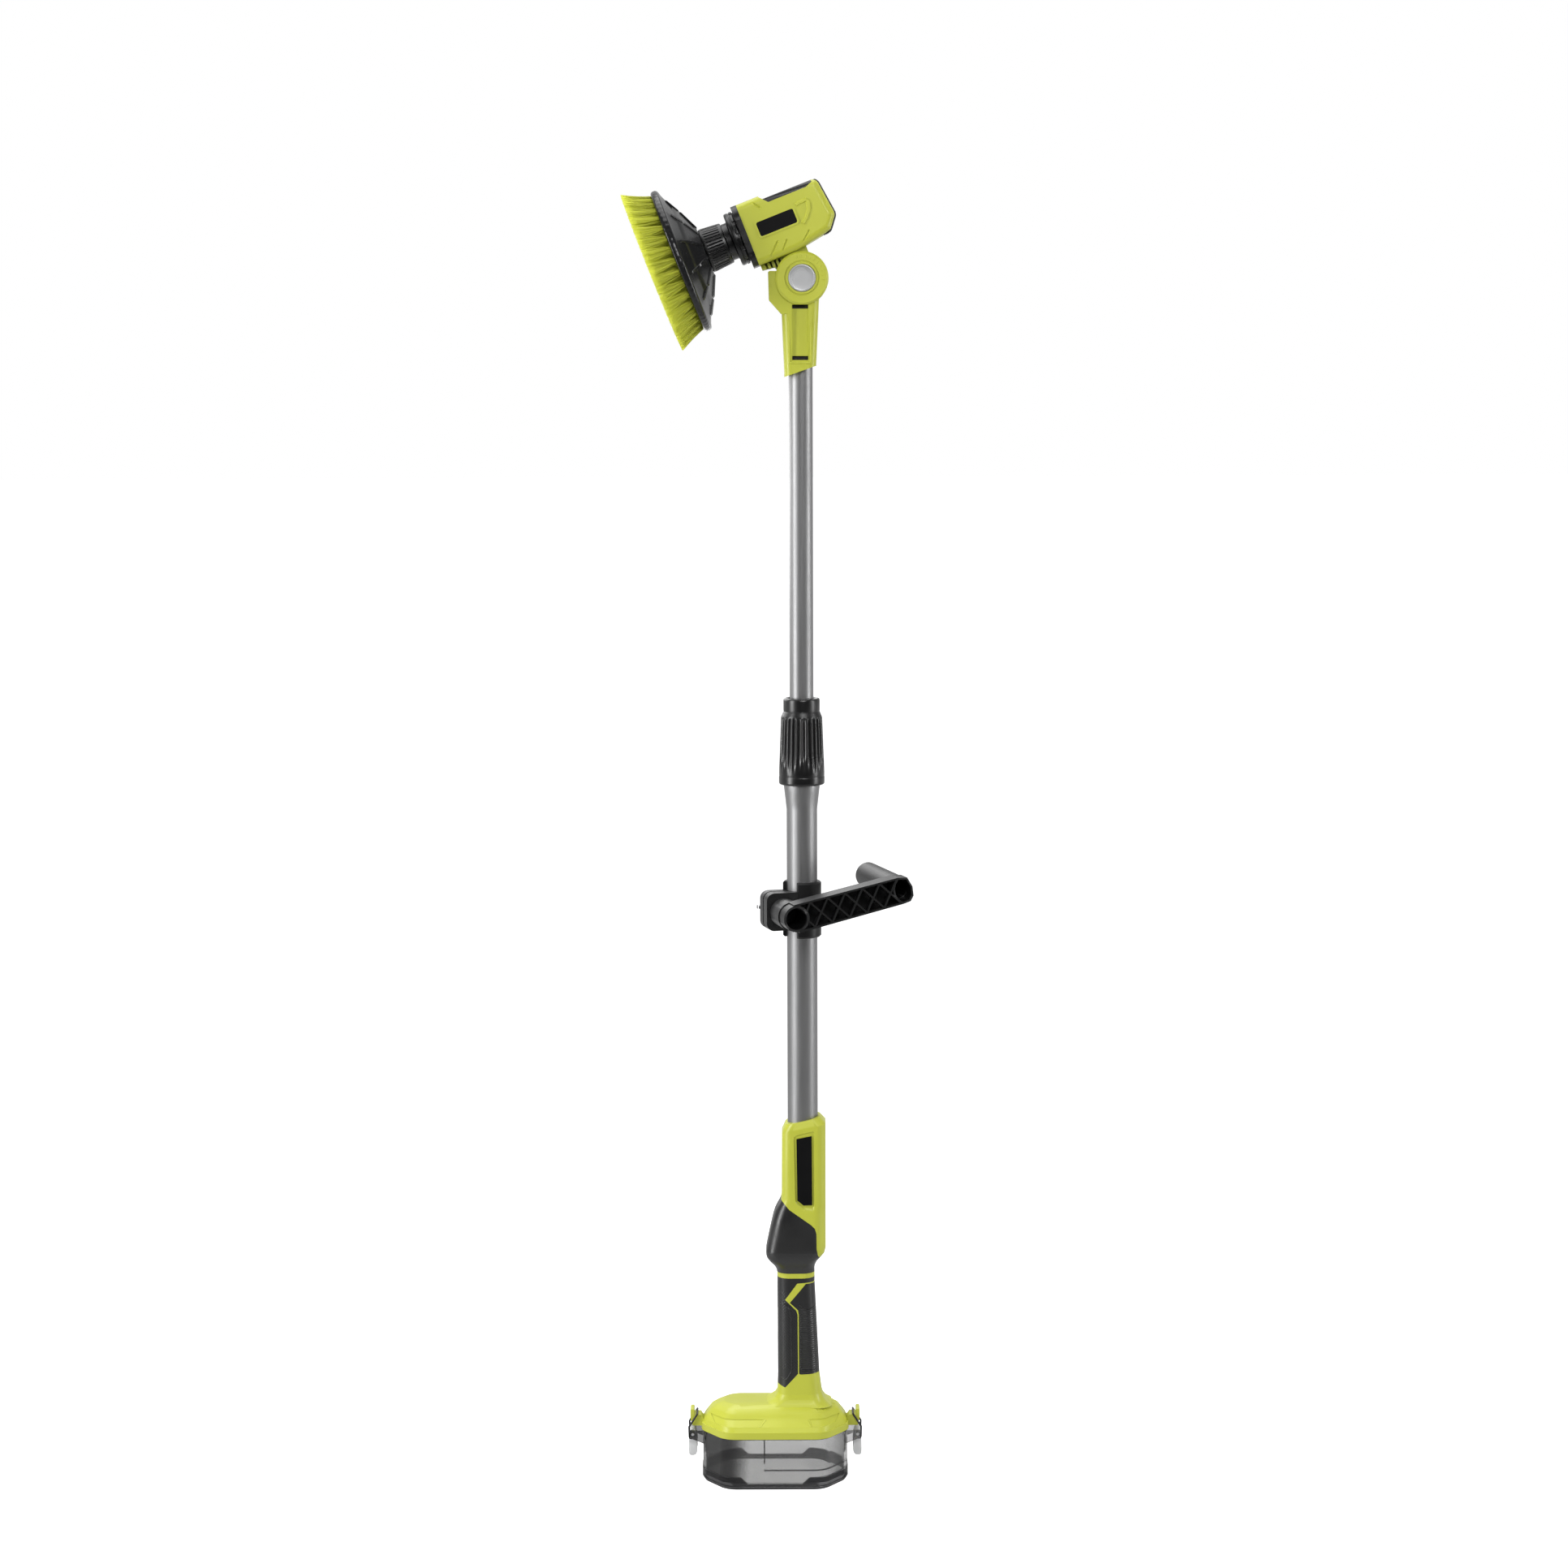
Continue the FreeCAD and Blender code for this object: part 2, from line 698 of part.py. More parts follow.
def lid_panels():
    """Shallow recesses on both long sides, either side of a bare plateau with slanted ends."""
    low = RIM_TOP + PANEL_START
    high = RIM_TOP + LID_SLOPE_RISE
    middle = BIN_X + PLATEAU_HIGH_HALF / 2
    cutter = None
    for side in (-1, 1):
        end = BIN_X + side * (PANEL_HALF + BIN_CORNER_X)
        outline = ((middle + side * PLATEAU_LOW_HALF, low), (end, low), (end, high),
                   (middle + side * PLATEAU_HIGH_HALF, high))
        plate = side_plate(outline, -BIN_HALF_Y - CUT_OVER, BIN_HALF_Y + CUT_OVER)
        cutter = plate if cutter is None else cutter.fuse(plate)
    return cutter


def make_lid():
    """Yellow lid: rim band, stepped dome, neck saddle and the two ears, hollow inside."""
    rim = bin_stack([(-RIM_PROUD, LID_LOW), (-RIM_PROUD, RIM_TOP)])
    dome = lid_form(0, 0).fuse(neck_saddle(0, 0))
    skin = dome.cut(lid_form(PANEL_DEPTH, 0).fuse(neck_saddle(PANEL_DEPTH, 0)))
    dome = dome.cut(skin.common(lid_panels()))
    ear = lid_ear()
    solid = rim.fuse(dome).fuse(ear).fuse(mirrored_x(ear, BIN_X))
    solid = solid.cut(lid_form(LID_WALL, LID_WALL))
    for x in (-LID_SCREW_X, LID_SCREW_X):
        for y in (-LID_SCREW_Y, LID_SCREW_Y):
            spot = V(SOCKET_X + x, y, 0)
            hole = rod(LID_SCREW_R + RUN_GAP, spot, spot + V(0, 0, NECK_Z))
            solid = solid.cut(hole)
    return solid.removeSplitter()


def socket_top():
    """Height of the underside of the lid's crest."""
    return CREST_Z - LID_WALL


def make_battery_socket():
    """Socket for the battery's stem, hung under the lid's crest."""
    top = socket_top()
    corner = SOCKET_WALL + SOCKET_WALL
    outer = stack([(SOCKET_X - SOCKET_HALF_X, SOCKET_X + SOCKET_HALF_X, SOCKET_HALF_Y, corner, SOCKET_BOTTOM),
                   (SOCKET_X - SOCKET_HALF_X, SOCKET_X + SOCKET_HALF_X, SOCKET_HALF_Y, corner, top)])
    wall = SOCKET_WALL
    inner = stack([(SOCKET_X - SOCKET_HALF_X + wall, SOCKET_X + SOCKET_HALF_X - wall, SOCKET_HALF_Y - wall,
                    wall, SOCKET_BOTTOM - wall),
                   (SOCKET_X - SOCKET_HALF_X + wall, SOCKET_X + SOCKET_HALF_X - wall, SOCKET_HALF_Y - wall,
                    wall, top - SOCKET_FLOOR)])
    solid = outer.cut(inner)
    for x in (-LID_SCREW_X, LID_SCREW_X):
        for y in (-LID_SCREW_Y, LID_SCREW_Y):
            spot = V(SOCKET_X + x, y, top)
            solid = solid.cut(rod(LID_SCREW_R + RUN_GAP, spot - V(0, 0, CUT_OVER), spot))
    return solid


def make_terminals():
    """Four contact blades in the socket's roof."""
    blades = []
    top = socket_top() - SOCKET_FLOOR
    for i in range(BLADE_COUNT):
        y = (i - (BLADE_COUNT - 1) / 2) * BLADE_PITCH
        blades.append(box(SOCKET_X - BLADE_HALF_X, SOCKET_X + BLADE_HALF_X, y - BLADE_THICK / 2,
                          y + BLADE_THICK / 2,
                          top - BLADE_DROP, top))
    return Part.makeCompound(blades)


def make_lid_screws():
    """Four screws that hold the socket and the lid to the handle shells."""
    screws = []
    head_z = socket_top() - SOCKET_FLOOR
    for x in (-LID_SCREW_X, LID_SCREW_X):
        for y in (-LID_SCREW_Y, LID_SCREW_Y):
            spot = V(SOCKET_X + x, y, head_z)
            screws.append(rod(LID_SCREW_R, spot, spot + V(0, 0, LID_SCREW_LENGTH)))
    return Part.makeCompound(screws)


def make_lever():
    """Latch lever at the right end, hanging from its pin."""
    centre = V(BIN_X + LEVER_X, 0, LEVER_Z)
    half = V(0, LEVER_HALF_Y, 0)
    hub = rod(LEVER_HUB_R, centre - half, centre + half)
    x = centre.x - LEVER_TAB_OFFSET
    low = centre.z - LEVER_TAB_DROP
    outline = ((x, low), (x + LEVER_TAB_THICK, low), (centre.x + LEVER_HUB_R, centre.z),
               (centre.x - LEVER_HUB_R / 2, centre.z))
    tab = side_plate(outline, -LEVER_HALF_Y, LEVER_HALF_Y, [LEVER_TAB_THICK / 3, LEVER_TAB_THICK / 3, 0, 0])
    eye = centre + V(BAIL_OFFSET, 0, -BAIL_OFFSET)
    boss = rod(BAIL_WIRE_R + BAIL_WIRE_R, eye - half, eye + half)
    solid = hub.fuse(tab).fuse(boss)
    reach = V(0, CUT_OVER, 0)
    solid = solid.cut(rod(LATCH_PIN_R + RUN_GAP, centre - reach, centre + reach))
    solid = solid.cut(rod(BAIL_WIRE_R + RUN_GAP, eye - reach, eye + reach))
    return solid.removeSplitter()


def make_bail():
    """Bent wire bail at the right end: bar behind the ear, two legs and two pivot ends."""
    bar = V(BIN_X + BAIL_BAR_X, 0, BAIL_BAR_Z)
    eye = V(BIN_X + LEVER_X + BAIL_OFFSET, 0, LEVER_Z - BAIL_OFFSET)
    out = V(0, BAIL_HALF_Y, 0)
    inn = V(0, BAIL_HALF_Y - BAIL_PIN_REACH, 0)
    knee = V(BIN_X + LEVER_X + BAIL_KNEE_OUT, 0, LEVER_Z + BAIL_KNEE_UP)
    solid = rod(BAIL_WIRE_R, bar - out, bar + out)
    for side in (-1, 1):
        upper = rod(BAIL_WIRE_R, bar + out * side, knee + out * side)
        lower = rod(BAIL_WIRE_R, knee + out * side, eye + out * side)
        end = rod(BAIL_WIRE_R, eye + inn * side, eye + out * side)
        solid = solid.fuse(upper).fuse(lower).fuse(end)
        for corner in (bar, knee, eye):
            solid = solid.fuse(Part.makeSphere(BAIL_WIRE_R, corner + out * side))
    return solid.removeSplitter()


def make_latch_pins():
    """The two pins that the levers turn on."""
    half = V(0, BRACKET_OUT, 0)
    pins = []
    for side in (-1, 1):
        centre = V(BIN_X + side * LEVER_X, 0, LEVER_Z)
        pins.append(rod(LATCH_PIN_R, centre - half, centre + half))
    return Part.makeCompound(pins)


def shell_levels(inset):
    """Levels of the main handle from the lid to the pole."""
    rows = (
        (NECK_LEFT, NECK_RIGHT, NECK_HALF, SHELL_CORNER, NECK_Z),
        (GRIP_LOW_LEFT, GRIP_LOW_RIGHT, GRIP_LOW_HALF, SHELL_CORNER, GRIP_LOW_Z),
        (GRIP_TOP_LEFT, GRIP_TOP_RIGHT, GRIP_TOP_HALF, SHELL_CORNER, GRIP_TOP_Z),
        (GRIP_TOP_LEFT, GRIP_TOP_RIGHT, GRIP_TOP_HALF, SHELL_CORNER, RING_TOP_Z),
        (BULGE_FOOT_LEFT, BULGE_FOOT_RIGHT, BULGE_FOOT_HALF, SHELL_CORNER, BULGE_FOOT_Z),
        (BULGE_LOW_LEFT, BULGE_LOW_RIGHT, BULGE_LOW_HALF, SHELL_CORNER, BULGE_LOW_Z),
        (BULGE_TURN_LEFT, BULGE_TURN_RIGHT, BULGE_TURN_HALF, SHELL_CORNER, BULGE_TURN_Z),
        (BULGE_LEFT, BULGE_RIGHT, BULGE_HALF, SHELL_CORNER, BULGE_Z),
        (BULGE_TOP_LEFT, BULGE_TOP_RIGHT, BULGE_TOP_HALF, SHELL_CORNER, BULGE_TOP_Z),
        (WAIST_LEFT, WAIST_RIGHT, WAIST_HALF, SHELL_CORNER, WAIST_Z),
        (CREST_BEND_LEFT, CREST_BEND_RIGHT, CREST_BEND_HALF, SHELL_CORNER, CREST_BEND_Z),
        (COVER_TIP_LEFT, COVER_TIP_RIGHT, COVER_TIP_HALF, BARREL_CORNER, COVER_TIP_Z),
        (BARREL_LEFT, BARREL_RIGHT, BARREL_HALF, BARREL_CORNER, BARREL_Z))
    return [(left + inset, right - inset, half - inset, corner - inset, z) for left, right, half, corner,
            z in rows]


def shell_form(inset):
    """Outer form of the main handle, drawn in by an inset, with its bevelled and slanted top."""
    rows = shell_levels(inset)
    rows.append((BARREL_TOP_LEFT + inset, BARREL_TOP_RIGHT - inset, BARREL_TOP_HALF - inset,
                 BARREL_CORNER - inset,
                 BARREL_TOP_Z, LIP_TILT_SHARE))
    rows.append((inset - LIP_HALF_X, LIP_HALF_X - inset, LIP_HALF_Y - inset, BARREL_CORNER - inset, LIP_Z,
                 LIP_TILT_SHARE))
    return stack(rows)


def trigger_block(gap, travel):
    """Block of the trigger, or of its pocket with a gap and its travel."""
    return box(TRIGGER_FACE - gap, TRIGGER_FACE + TRIGGER_DEPTH + gap + travel, -TRIGGER_HALF_Y - gap,
               TRIGGER_HALF_Y + gap,
               TRIGGER_Z - TRIGGER_HALF_Z - gap, TRIGGER_Z + TRIGGER_HALF_Z + gap)


def switch_block(gap):
    """Block of the switch behind the trigger's spring, or of its pocket."""
    start = TRIGGER_FACE + TRIGGER_DEPTH + TRIGGER_TRAVEL + FREE_GAP
    return box(start - (gap and FREE_GAP), start + SWITCH_LENGTH + gap, -SWITCH_HALF_Y - gap,
               SWITCH_HALF_Y + gap,
               TRIGGER_Z - SWITCH_HALF_Z - gap, TRIGGER_Z + SWITCH_HALF_Z + gap)


def pad_slice(edge, outer, inner):
    """Skin piece between two forms, inside an outline of the side view."""
    return outer.cut(inner).common(side_plate(edge, -CUT_OVER, CUT_OVER))


def make_handle_pieces():
    """The two yellow shells, the soft cover, the two soft pads, the bare plate and the screws."""
    outer = shell_form(0)
    core = shell_form(PAD_THICK)
    grip = (GRIP_TOP_LEFT, GRIP_LOW_RIGHT, GRIP_LOW_Z, RING_LOW_Z)
    cover = pad_slice(spread(COVER_SHARES, BULGE_LEFT, BARREL_RIGHT, RING_TOP_Z, BARREL_Z), outer, core)
    front = pad_slice(spread(FRONT_PAD_SHARES, *grip), outer, core)
    rear = pad_slice(spread(REAR_PAD_SHARES, *grip), outer, core)
    pocket = trigger_block(FREE_GAP, TRIGGER_TRAVEL)
    mouth = pocket.fuse(box(-CUT_OVER, TRIGGER_FACE, -TRIGGER_HALF_Y - FREE_GAP, TRIGGER_HALF_Y + FREE_GAP,
                            TRIGGER_Z - TRIGGER_HALF_Z - FREE_GAP, TRIGGER_Z + TRIGGER_HALF_Z + FREE_GAP))
    front = front.cut(mouth)
    plate_edge = spread(PLATE_SHARES, BARREL_LEFT, BARREL_RIGHT, CREST_BEND_Z, BARREL_TOP_Z)
    plate_area = side_plate(plate_edge, -CUT_OVER, PLATE_DEPTH - BARREL_TOP_HALF)
    plate = plate_area.common(shell_form(-PLATE_PROUD))
    yellow = outer.cut(cover).cut(front).cut(rear).cut(plate_area)
    yellow = yellow.cut(mouth).cut(switch_block(SEAT_GAP))
    pole = rod(OUTER_R + SEAT_GAP, V(0, 0, OUTER_BOTTOM), V(0, 0, LIP_Z + LIP_HALF_X))
    cavity = shell_form(SHELL_WALL + PAD_THICK).common(box(-CUT_OVER, CUT_OVER, -CUT_OVER, CUT_OVER,
                                                           CAVITY_LOW, CAVITY_TOP))
    yellow = yellow.cut(pole).cut(cavity)
    screws = []
    for across, up in GRIP_SCREW_SHARES:
        spot = V(GRIP_LOW_RIGHT * across, 0, RING_TOP_Z * up)
        shaft = rod(SCREW_R, spot + V(0, -SCREW_LENGTH / 2, 0), spot + V(0, SCREW_LENGTH / 2, 0))
        head = rod(SCREW_HEAD_R, spot + V(0, SCREW_LENGTH / 2, 0),
                   spot + V(0, SCREW_LENGTH / 2 + SCREW_HEAD, 0))
        screws.append(shaft.fuse(head))
        way = rod(SCREW_HEAD_R + SEAT_GAP, spot + V(0, SCREW_LENGTH / 2, 0), spot + V(0, CUT_OVER, 0))
        yellow = yellow.cut(rod(SCREW_R + RUN_GAP, spot + V(0, -SCREW_LENGTH / 2, 0),
                                spot + V(0, SCREW_LENGTH / 2, 0))).cut(way)
        rear = rear.cut(way)
    for x in (-LID_SCREW_X, LID_SCREW_X):
        for y in (-LID_SCREW_Y, LID_SCREW_Y):
            spot = V(SOCKET_X + x, y, 0)
            yellow = yellow.cut(rod(LID_SCREW_R + RUN_GAP, spot,
                                    spot + V(0, 0,
                                             socket_top() - SOCKET_FLOOR + LID_SCREW_LENGTH + SEAT_GAP)))
    save("handle_shell_near", near_half(yellow))
    save("handle_shell_far", far_half(yellow))
    save("bulge_cover", cover)
    save("grip_pad_front", front)
    save("grip_pad_rear", rear)
    save("barrel_plate", plate)
    save("handle_screws", Part.makeCompound(screws))


def make_trigger():
    """Trigger paddle with a dished face and a pocket for its spring."""
    solid = trigger_block(0, 0).common(shell_form(0))
    dish = TRIGGER_HALF_Z * TRIGGER_HALF_Z / TRIGGER_DISH / 2
    centre = V(TRIGGER_FACE - dish + TRIGGER_DISH, 0, TRIGGER_Z)
    solid = solid.cut(rod(dish, centre - V(0, CUT_OVER, 0), centre + V(0, CUT_OVER, 0)))
    back = V(TRIGGER_FACE + TRIGGER_DEPTH, 0, TRIGGER_Z)
    return solid.cut(rod(SPRING_R + FREE_GAP, back - V(SPRING_POCKET, 0, 0), back))


def make_trigger_spring():
    """Sleeve form of the trigger's return spring."""
    start = V(TRIGGER_FACE + TRIGGER_DEPTH - SPRING_POCKET, 0, TRIGGER_Z)
    end = V(TRIGGER_FACE + TRIGGER_DEPTH + TRIGGER_TRAVEL + FREE_GAP, 0, TRIGGER_Z)
    return tube(SPRING_R, SPRING_R - SPRING_WIRE, start, end)


def make_outer_pole():
    """Lower pole with its flared top."""
    wall = OUTER_WALL
    return turned_z(((OUTER_R, OUTER_BOTTOM), (OUTER_R, FLARE_LOW_Z), (FLARE_R, FLARE_HIGH_Z),
                     (FLARE_R, OUTER_TOP), (FLARE_R - wall, OUTER_TOP), (FLARE_R - wall, FLARE_HIGH_Z),
                     (OUTER_R - wall, FLARE_LOW_Z), (OUTER_R - wall, OUTER_BOTTOM)))


def make_inner_pole():
    """Upper pole."""
    return tube(INNER_R, INNER_R - INNER_WALL, V(0, 0, INNER_BOTTOM), V(0, 0, INNER_TOP))


def make_guide_bush():
    """Plastic bush on the foot of the upper pole that runs inside the lower pole."""
    return turned_z(((INNER_R + SEAT_GAP / 2, INNER_BOTTOM),
                     (INNER_R + SEAT_GAP / 2, INNER_BOTTOM + BUSH_LENGTH),
                     (OUTER_R - OUTER_WALL - RUN_GAP,
                      INNER_BOTTOM + BUSH_LENGTH), (OUTER_R - OUTER_WALL - RUN_GAP, INNER_BOTTOM)))


def make_lock_sleeve():
    """Threaded sleeve pressed into the flare, with the spigot that the collar turns on."""
    inside = FLARE_R - OUTER_WALL - SEAT_GAP / 2
    bore = INNER_R + FREE_GAP
    return turned_z(((bore, FLARE_HIGH_Z), (inside, FLARE_HIGH_Z), (inside, OUTER_TOP + SEAT_GAP),
                     (SLEEVE_SPIGOT_R, OUTER_TOP + SEAT_GAP),
                     (SLEEVE_SPIGOT_R, SLEEVE_TOP), (bore, SLEEVE_TOP)))


def make_collet():
    """Split collet that the collar squeezes onto the upper pole."""
    bore = INNER_R + RUN_GAP
    low = SLEEVE_TOP + SEAT_GAP
    ring = turned_z(((bore, low), (bore + COLLET_WALL + COLLET_FLARE, low), (bore + COLLET_WALL, COLLET_TOP),
                     (bore, COLLET_TOP)))
    for i in range(COLLET_SLOTS):
        slot = box(0, CUT_OVER, -COLLET_SLOT / 2, COLLET_SLOT / 2, low + COLLET_WALL + COLLET_WALL,
                   COLLET_TOP + COLLET_WALL)
        slot.rotate(V(0, 0, 0), V(0, 0, 1), 360 * i / COLLET_SLOTS)
        ring = ring.cut(slot)
    return ring


def make_twist_collar():
    """Fluted twist collar with its inner taper over the collet."""
    skirt = FLARE_R + COLLAR_SKIRT_GAP
    spigot = SLEEVE_SPIGOT_R + RUN_GAP
    taper = INNER_R + RUN_GAP + COLLET_WALL + COLLET_FLARE + FREE_GAP
    narrow = INNER_R + RUN_GAP + COLLET_WALL + FREE_GAP
    mouth = INNER_R + COLLAR_MOUTH_GAP
    profile = ((skirt, COLLAR_LOW_Z), (COLLAR_BAND_R - COLLAR_EDGE, COLLAR_LOW_Z),
               (COLLAR_BAND_R, COLLAR_LOW_Z + COLLAR_EDGE), (COLLAR_BAND_R, COLLAR_BAND_TOP),
               (COLLAR_BELLY_R, COLLAR_BELLY_Z), (COLLAR_SHOULDER_R, COLLAR_SHOULDER_Z),
               (COLLAR_RING_R, COLLAR_RING_Z), (COLLAR_RING_R, COLLAR_TOP - COLLAR_EDGE),
               (COLLAR_RING_R - COLLAR_EDGE, COLLAR_TOP), (mouth, COLLAR_TOP),
               (mouth, COLLET_TOP + FREE_GAP), (narrow, COLLET_TOP + FREE_GAP), (taper, SLEEVE_TOP),
               (spigot, SLEEVE_TOP), (spigot, OUTER_TOP + FREE_GAP), (skirt, OUTER_TOP + FREE_GAP))
    solid = turned_z(profile)
    for i in range(COLLAR_FLUTES):
        angle = 2 * math.pi * i / COLLAR_FLUTES
        way = V(math.cos(angle), math.sin(angle), 0)
        low = way * (COLLAR_BELLY_R + COLLAR_FLUTE_R / 2) + V(0, 0, COLLAR_BAND_TOP + COLLAR_FLUTE_R)
        high = way * (COLLAR_SHOULDER_R + COLLAR_FLUTE_R / 2) + V(0, 0, COLLAR_SHOULDER_Z + COLLAR_FLUTE_R)
        solid = solid.cut(rod(COLLAR_FLUTE_R, low, high))
    return solid


def make_pole_clamp():
    """Split clamp that slides on the lower pole: a barrel on one side and two flanges with a gap."""
    bore = OUTER_R + RUN_GAP
    outer = OUTER_R + CLAMP_WALL
    edge = CLAMP_EDGE
    barrel = turned_z(((0, CLAMP_LOW_Z), (outer - edge, CLAMP_LOW_Z), (outer, CLAMP_LOW_Z + edge),
                       (outer, CLAMP_TOP - edge),
                       (outer - edge, CLAMP_TOP), (0, CLAMP_TOP)))
    open_side = side_plate(((CLAMP_LEFT - CUT_OVER, CLAMP_LOW_Z - CUT_OVER),
                            (CLAMP_LEFT, CLAMP_LOW_Z - CUT_OVER), (CLAMP_LEFT, CLAMP_TOP + CUT_OVER),
                            (CLAMP_LEFT - CUT_OVER, CLAMP_TOP + CUT_OVER)), -CUT_OVER, CLAMP_BACK)
    barrel = barrel.cut(open_side)
    band = rod(outer, V(0, 0, FLANGE_LOW_Z), V(0, 0, FLANGE_TOP))
    flange = side_plate(((FLANGE_LEFT, FLANGE_LOW_Z), (CLAMP_LEFT, FLANGE_LOW_Z), (CLAMP_LEFT, FLANGE_TOP),
                         (FLANGE_LEFT, FLANGE_TOP)),
                        FLANGE_NEAR, FLANGE_FAR, [FLANGE_CORNER, 0, 0, FLANGE_CORNER])
    solid = barrel.fuse(band).fuse(flange)
    solid = solid.cut(rod(bore, V(0, 0, CLAMP_LOW_Z - CUT_OVER), V(0, 0, CLAMP_TOP + CUT_OVER)))
    solid = solid.cut(box(FLANGE_LEFT - CUT_OVER, 0, FLANGE_GAP_MIDDLE - FLANGE_GAP,
                          FLANGE_GAP_MIDDLE + FLANGE_GAP,
                          CLAMP_LOW_Z, CLAMP_TOP))
    bolt = V(BOLT_X, 0, BOLT_Z)
    reach = V(0, CUT_OVER, 0)
    return solid.cut(rod(BOLT_R + RUN_GAP, bolt - reach, bolt + reach)).removeSplitter()


def make_clamp_bolt():
    """Bolt through the handle's stub and both flanges, its round head deep in the stub."""
    bolt = V(BOLT_X, 0, BOLT_Z)
    head_y = FLANGE_NEAR - FREE_GAP - STUB_FLOOR - SEAT_GAP
    shaft = rod(BOLT_R, bolt + V(0, head_y, 0), bolt + V(0, BOLT_END, 0))
    head = rod(BOLT_HEAD_R, bolt + V(0, head_y - BOLT_HEAD_HEIGHT, 0), bolt + V(0, head_y, 0))
    return shaft.fuse(head)


def make_clamp_washer():
    """Washer under the wing nut."""
    bolt = V(BOLT_X, 0, BOLT_Z)
    return tube(WASHER_R, BOLT_R + RUN_GAP, bolt + V(0, FLANGE_FAR, 0),
                bolt + V(0, FLANGE_FAR + WASHER_THICK, 0))


def make_wing_nut():
    """Wing nut behind the clamp, with two splayed wings."""
    bolt = V(BOLT_X, 0, BOLT_Z)
    start = FLANGE_FAR + WASHER_THICK + SEAT_GAP
    hub = rod(WING_HUB_R, bolt + V(0, start, 0), bolt + V(0, start + WING_HUB_LENGTH, 0))
    tip_y = start + WING_TIP_REACH
    wing = [V(BOLT_X, start, BOLT_Z), V(BOLT_X + WING_SPAN, start + WING_RISE, BOLT_Z),
            V(BOLT_X + WING_SPAN, tip_y, BOLT_Z), V(BOLT_X + WING_SPAN * WING_OUTER_SHARE, tip_y, BOLT_Z),
            V(BOLT_X, start + WING_HUB_LENGTH, BOLT_Z)]
    face = Part.Face(rounded_wire(wing, [0, WING_ROUND, WING_ROUND, WING_ROUND, 0]))
    plate = face.extrude(V(0, 0, WING_THICK))
    plate.translate(V(0, 0, -WING_THICK / 2))
    solid = hub.fuse(plate).fuse(plate.mirror(bolt, V(1, 0, 0)))
    return solid.cut(rod(BOLT_R + RUN_GAP, bolt, bolt + V(0, CUT_OVER, 0))).removeSplitter()


def lattice_ribs(half, y_from, y_to):
    """Crossing ribs of the arm's pocket, as a chain of diamonds."""
    ribs = None
    for i in range(LATTICE_CELLS):
        left = LATTICE_START + LATTICE_PITCH * i
        for low, high in ((-half, half), (half, -half)):
            slope = V(LATTICE_PITCH, 0, high - low)
            across = V(-slope.z, 0, slope.x).normalize() * (LATTICE_RIB / 2)
            foot = V(left, 0, low)
            corners = [foot - across, foot + slope - across, foot + slope + across, foot + across]
            rib = side_plate([(corner.x, corner.z) for corner in corners], y_from, y_to)
            ribs = rib if ribs is None else ribs.fuse(rib)
    return ribs


def arm_outline(inset):
    """Outline of the arm in the pivot's own frame: a round boss and a faceted end."""
    half = ARM_HALF - inset
    end = ARM_END_HALF - inset
    outline = [(0, -half)]
    for along, across in ARM_END_SHARES:
        outline.append((ARM_LENGTH + end * along, end * across))
    outline.append((0, half))
    return outline


def make_aux_handle():
    """Handle: pivot stub, latticed arm and grip in one hollow moulding."""
    front = ARM_FRONT
    back = ARM_FRONT + ARM_DEPTH
    stub_end = FLANGE_NEAR - FREE_GAP
    origin = V(0, 0, 0)
    boss_front = V(0, front, 0)
    solid = side_plate(arm_outline(0), front,
                       back).fuse(rod(STUB_R, V(0, back - ARM_FLOOR, 0), V(0, stub_end, 0)))
    solid = solid.fuse(rod(STUB_BORE_R + BOSS_WALL, boss_front, V(0, back, 0)))
    grip_front = V(ARM_LENGTH, back - ARM_FLOOR, 0)
    solid = solid.fuse(rod(GRIP_R, grip_front, V(ARM_LENGTH, GRIP_BACK, 0)))
    inside = side_plate(arm_outline(ARM_WALL), front, back - ARM_FLOOR)
    end_middle = V(ARM_LENGTH + END_POCKET_OFFSET, front, 0)
    depth = V(0, ARM_DEPTH, 0)
    end_disc = rod(END_POCKET_R, end_middle, end_middle + depth)
    end_wall = rod(END_POCKET_R + LATTICE_RIB, end_middle, end_middle + depth)
    boss = rod(STUB_BORE_R + BOSS_WALL, boss_front, boss_front + depth)
    ribs = lattice_ribs(ARM_HALF - ARM_WALL, front, front + LATTICE_DEPTH)
    pocket = inside.cut(boss).cut(end_wall).cut(ribs)
    solid = solid.cut(pocket).cut(inside.common(end_disc))
    solid = solid.cut(rod(GRIP_R - GRIP_WALL, V(ARM_LENGTH, front, 0),
                          V(ARM_LENGTH, GRIP_BACK - GRIP_WALL, 0)).common(
        inside.common(end_disc).fuse(rod(GRIP_R, grip_front - V(0, GRIP_WALL, 0),
                                         V(ARM_LENGTH, GRIP_BACK, 0)))))
    solid = solid.cut(rod(STUB_BORE_R, boss_front, V(0, stub_end - STUB_FLOOR, 0)))
    solid = solid.cut(rod(BOLT_R + RUN_GAP, boss_front, V(0, 0, 0)))
    solid.rotate(origin, V(0, 1, 0), -ARM_RISE_DEG)
    solid.translate(V(BOLT_X, 0, BOLT_Z))
    return solid.removeSplitter()


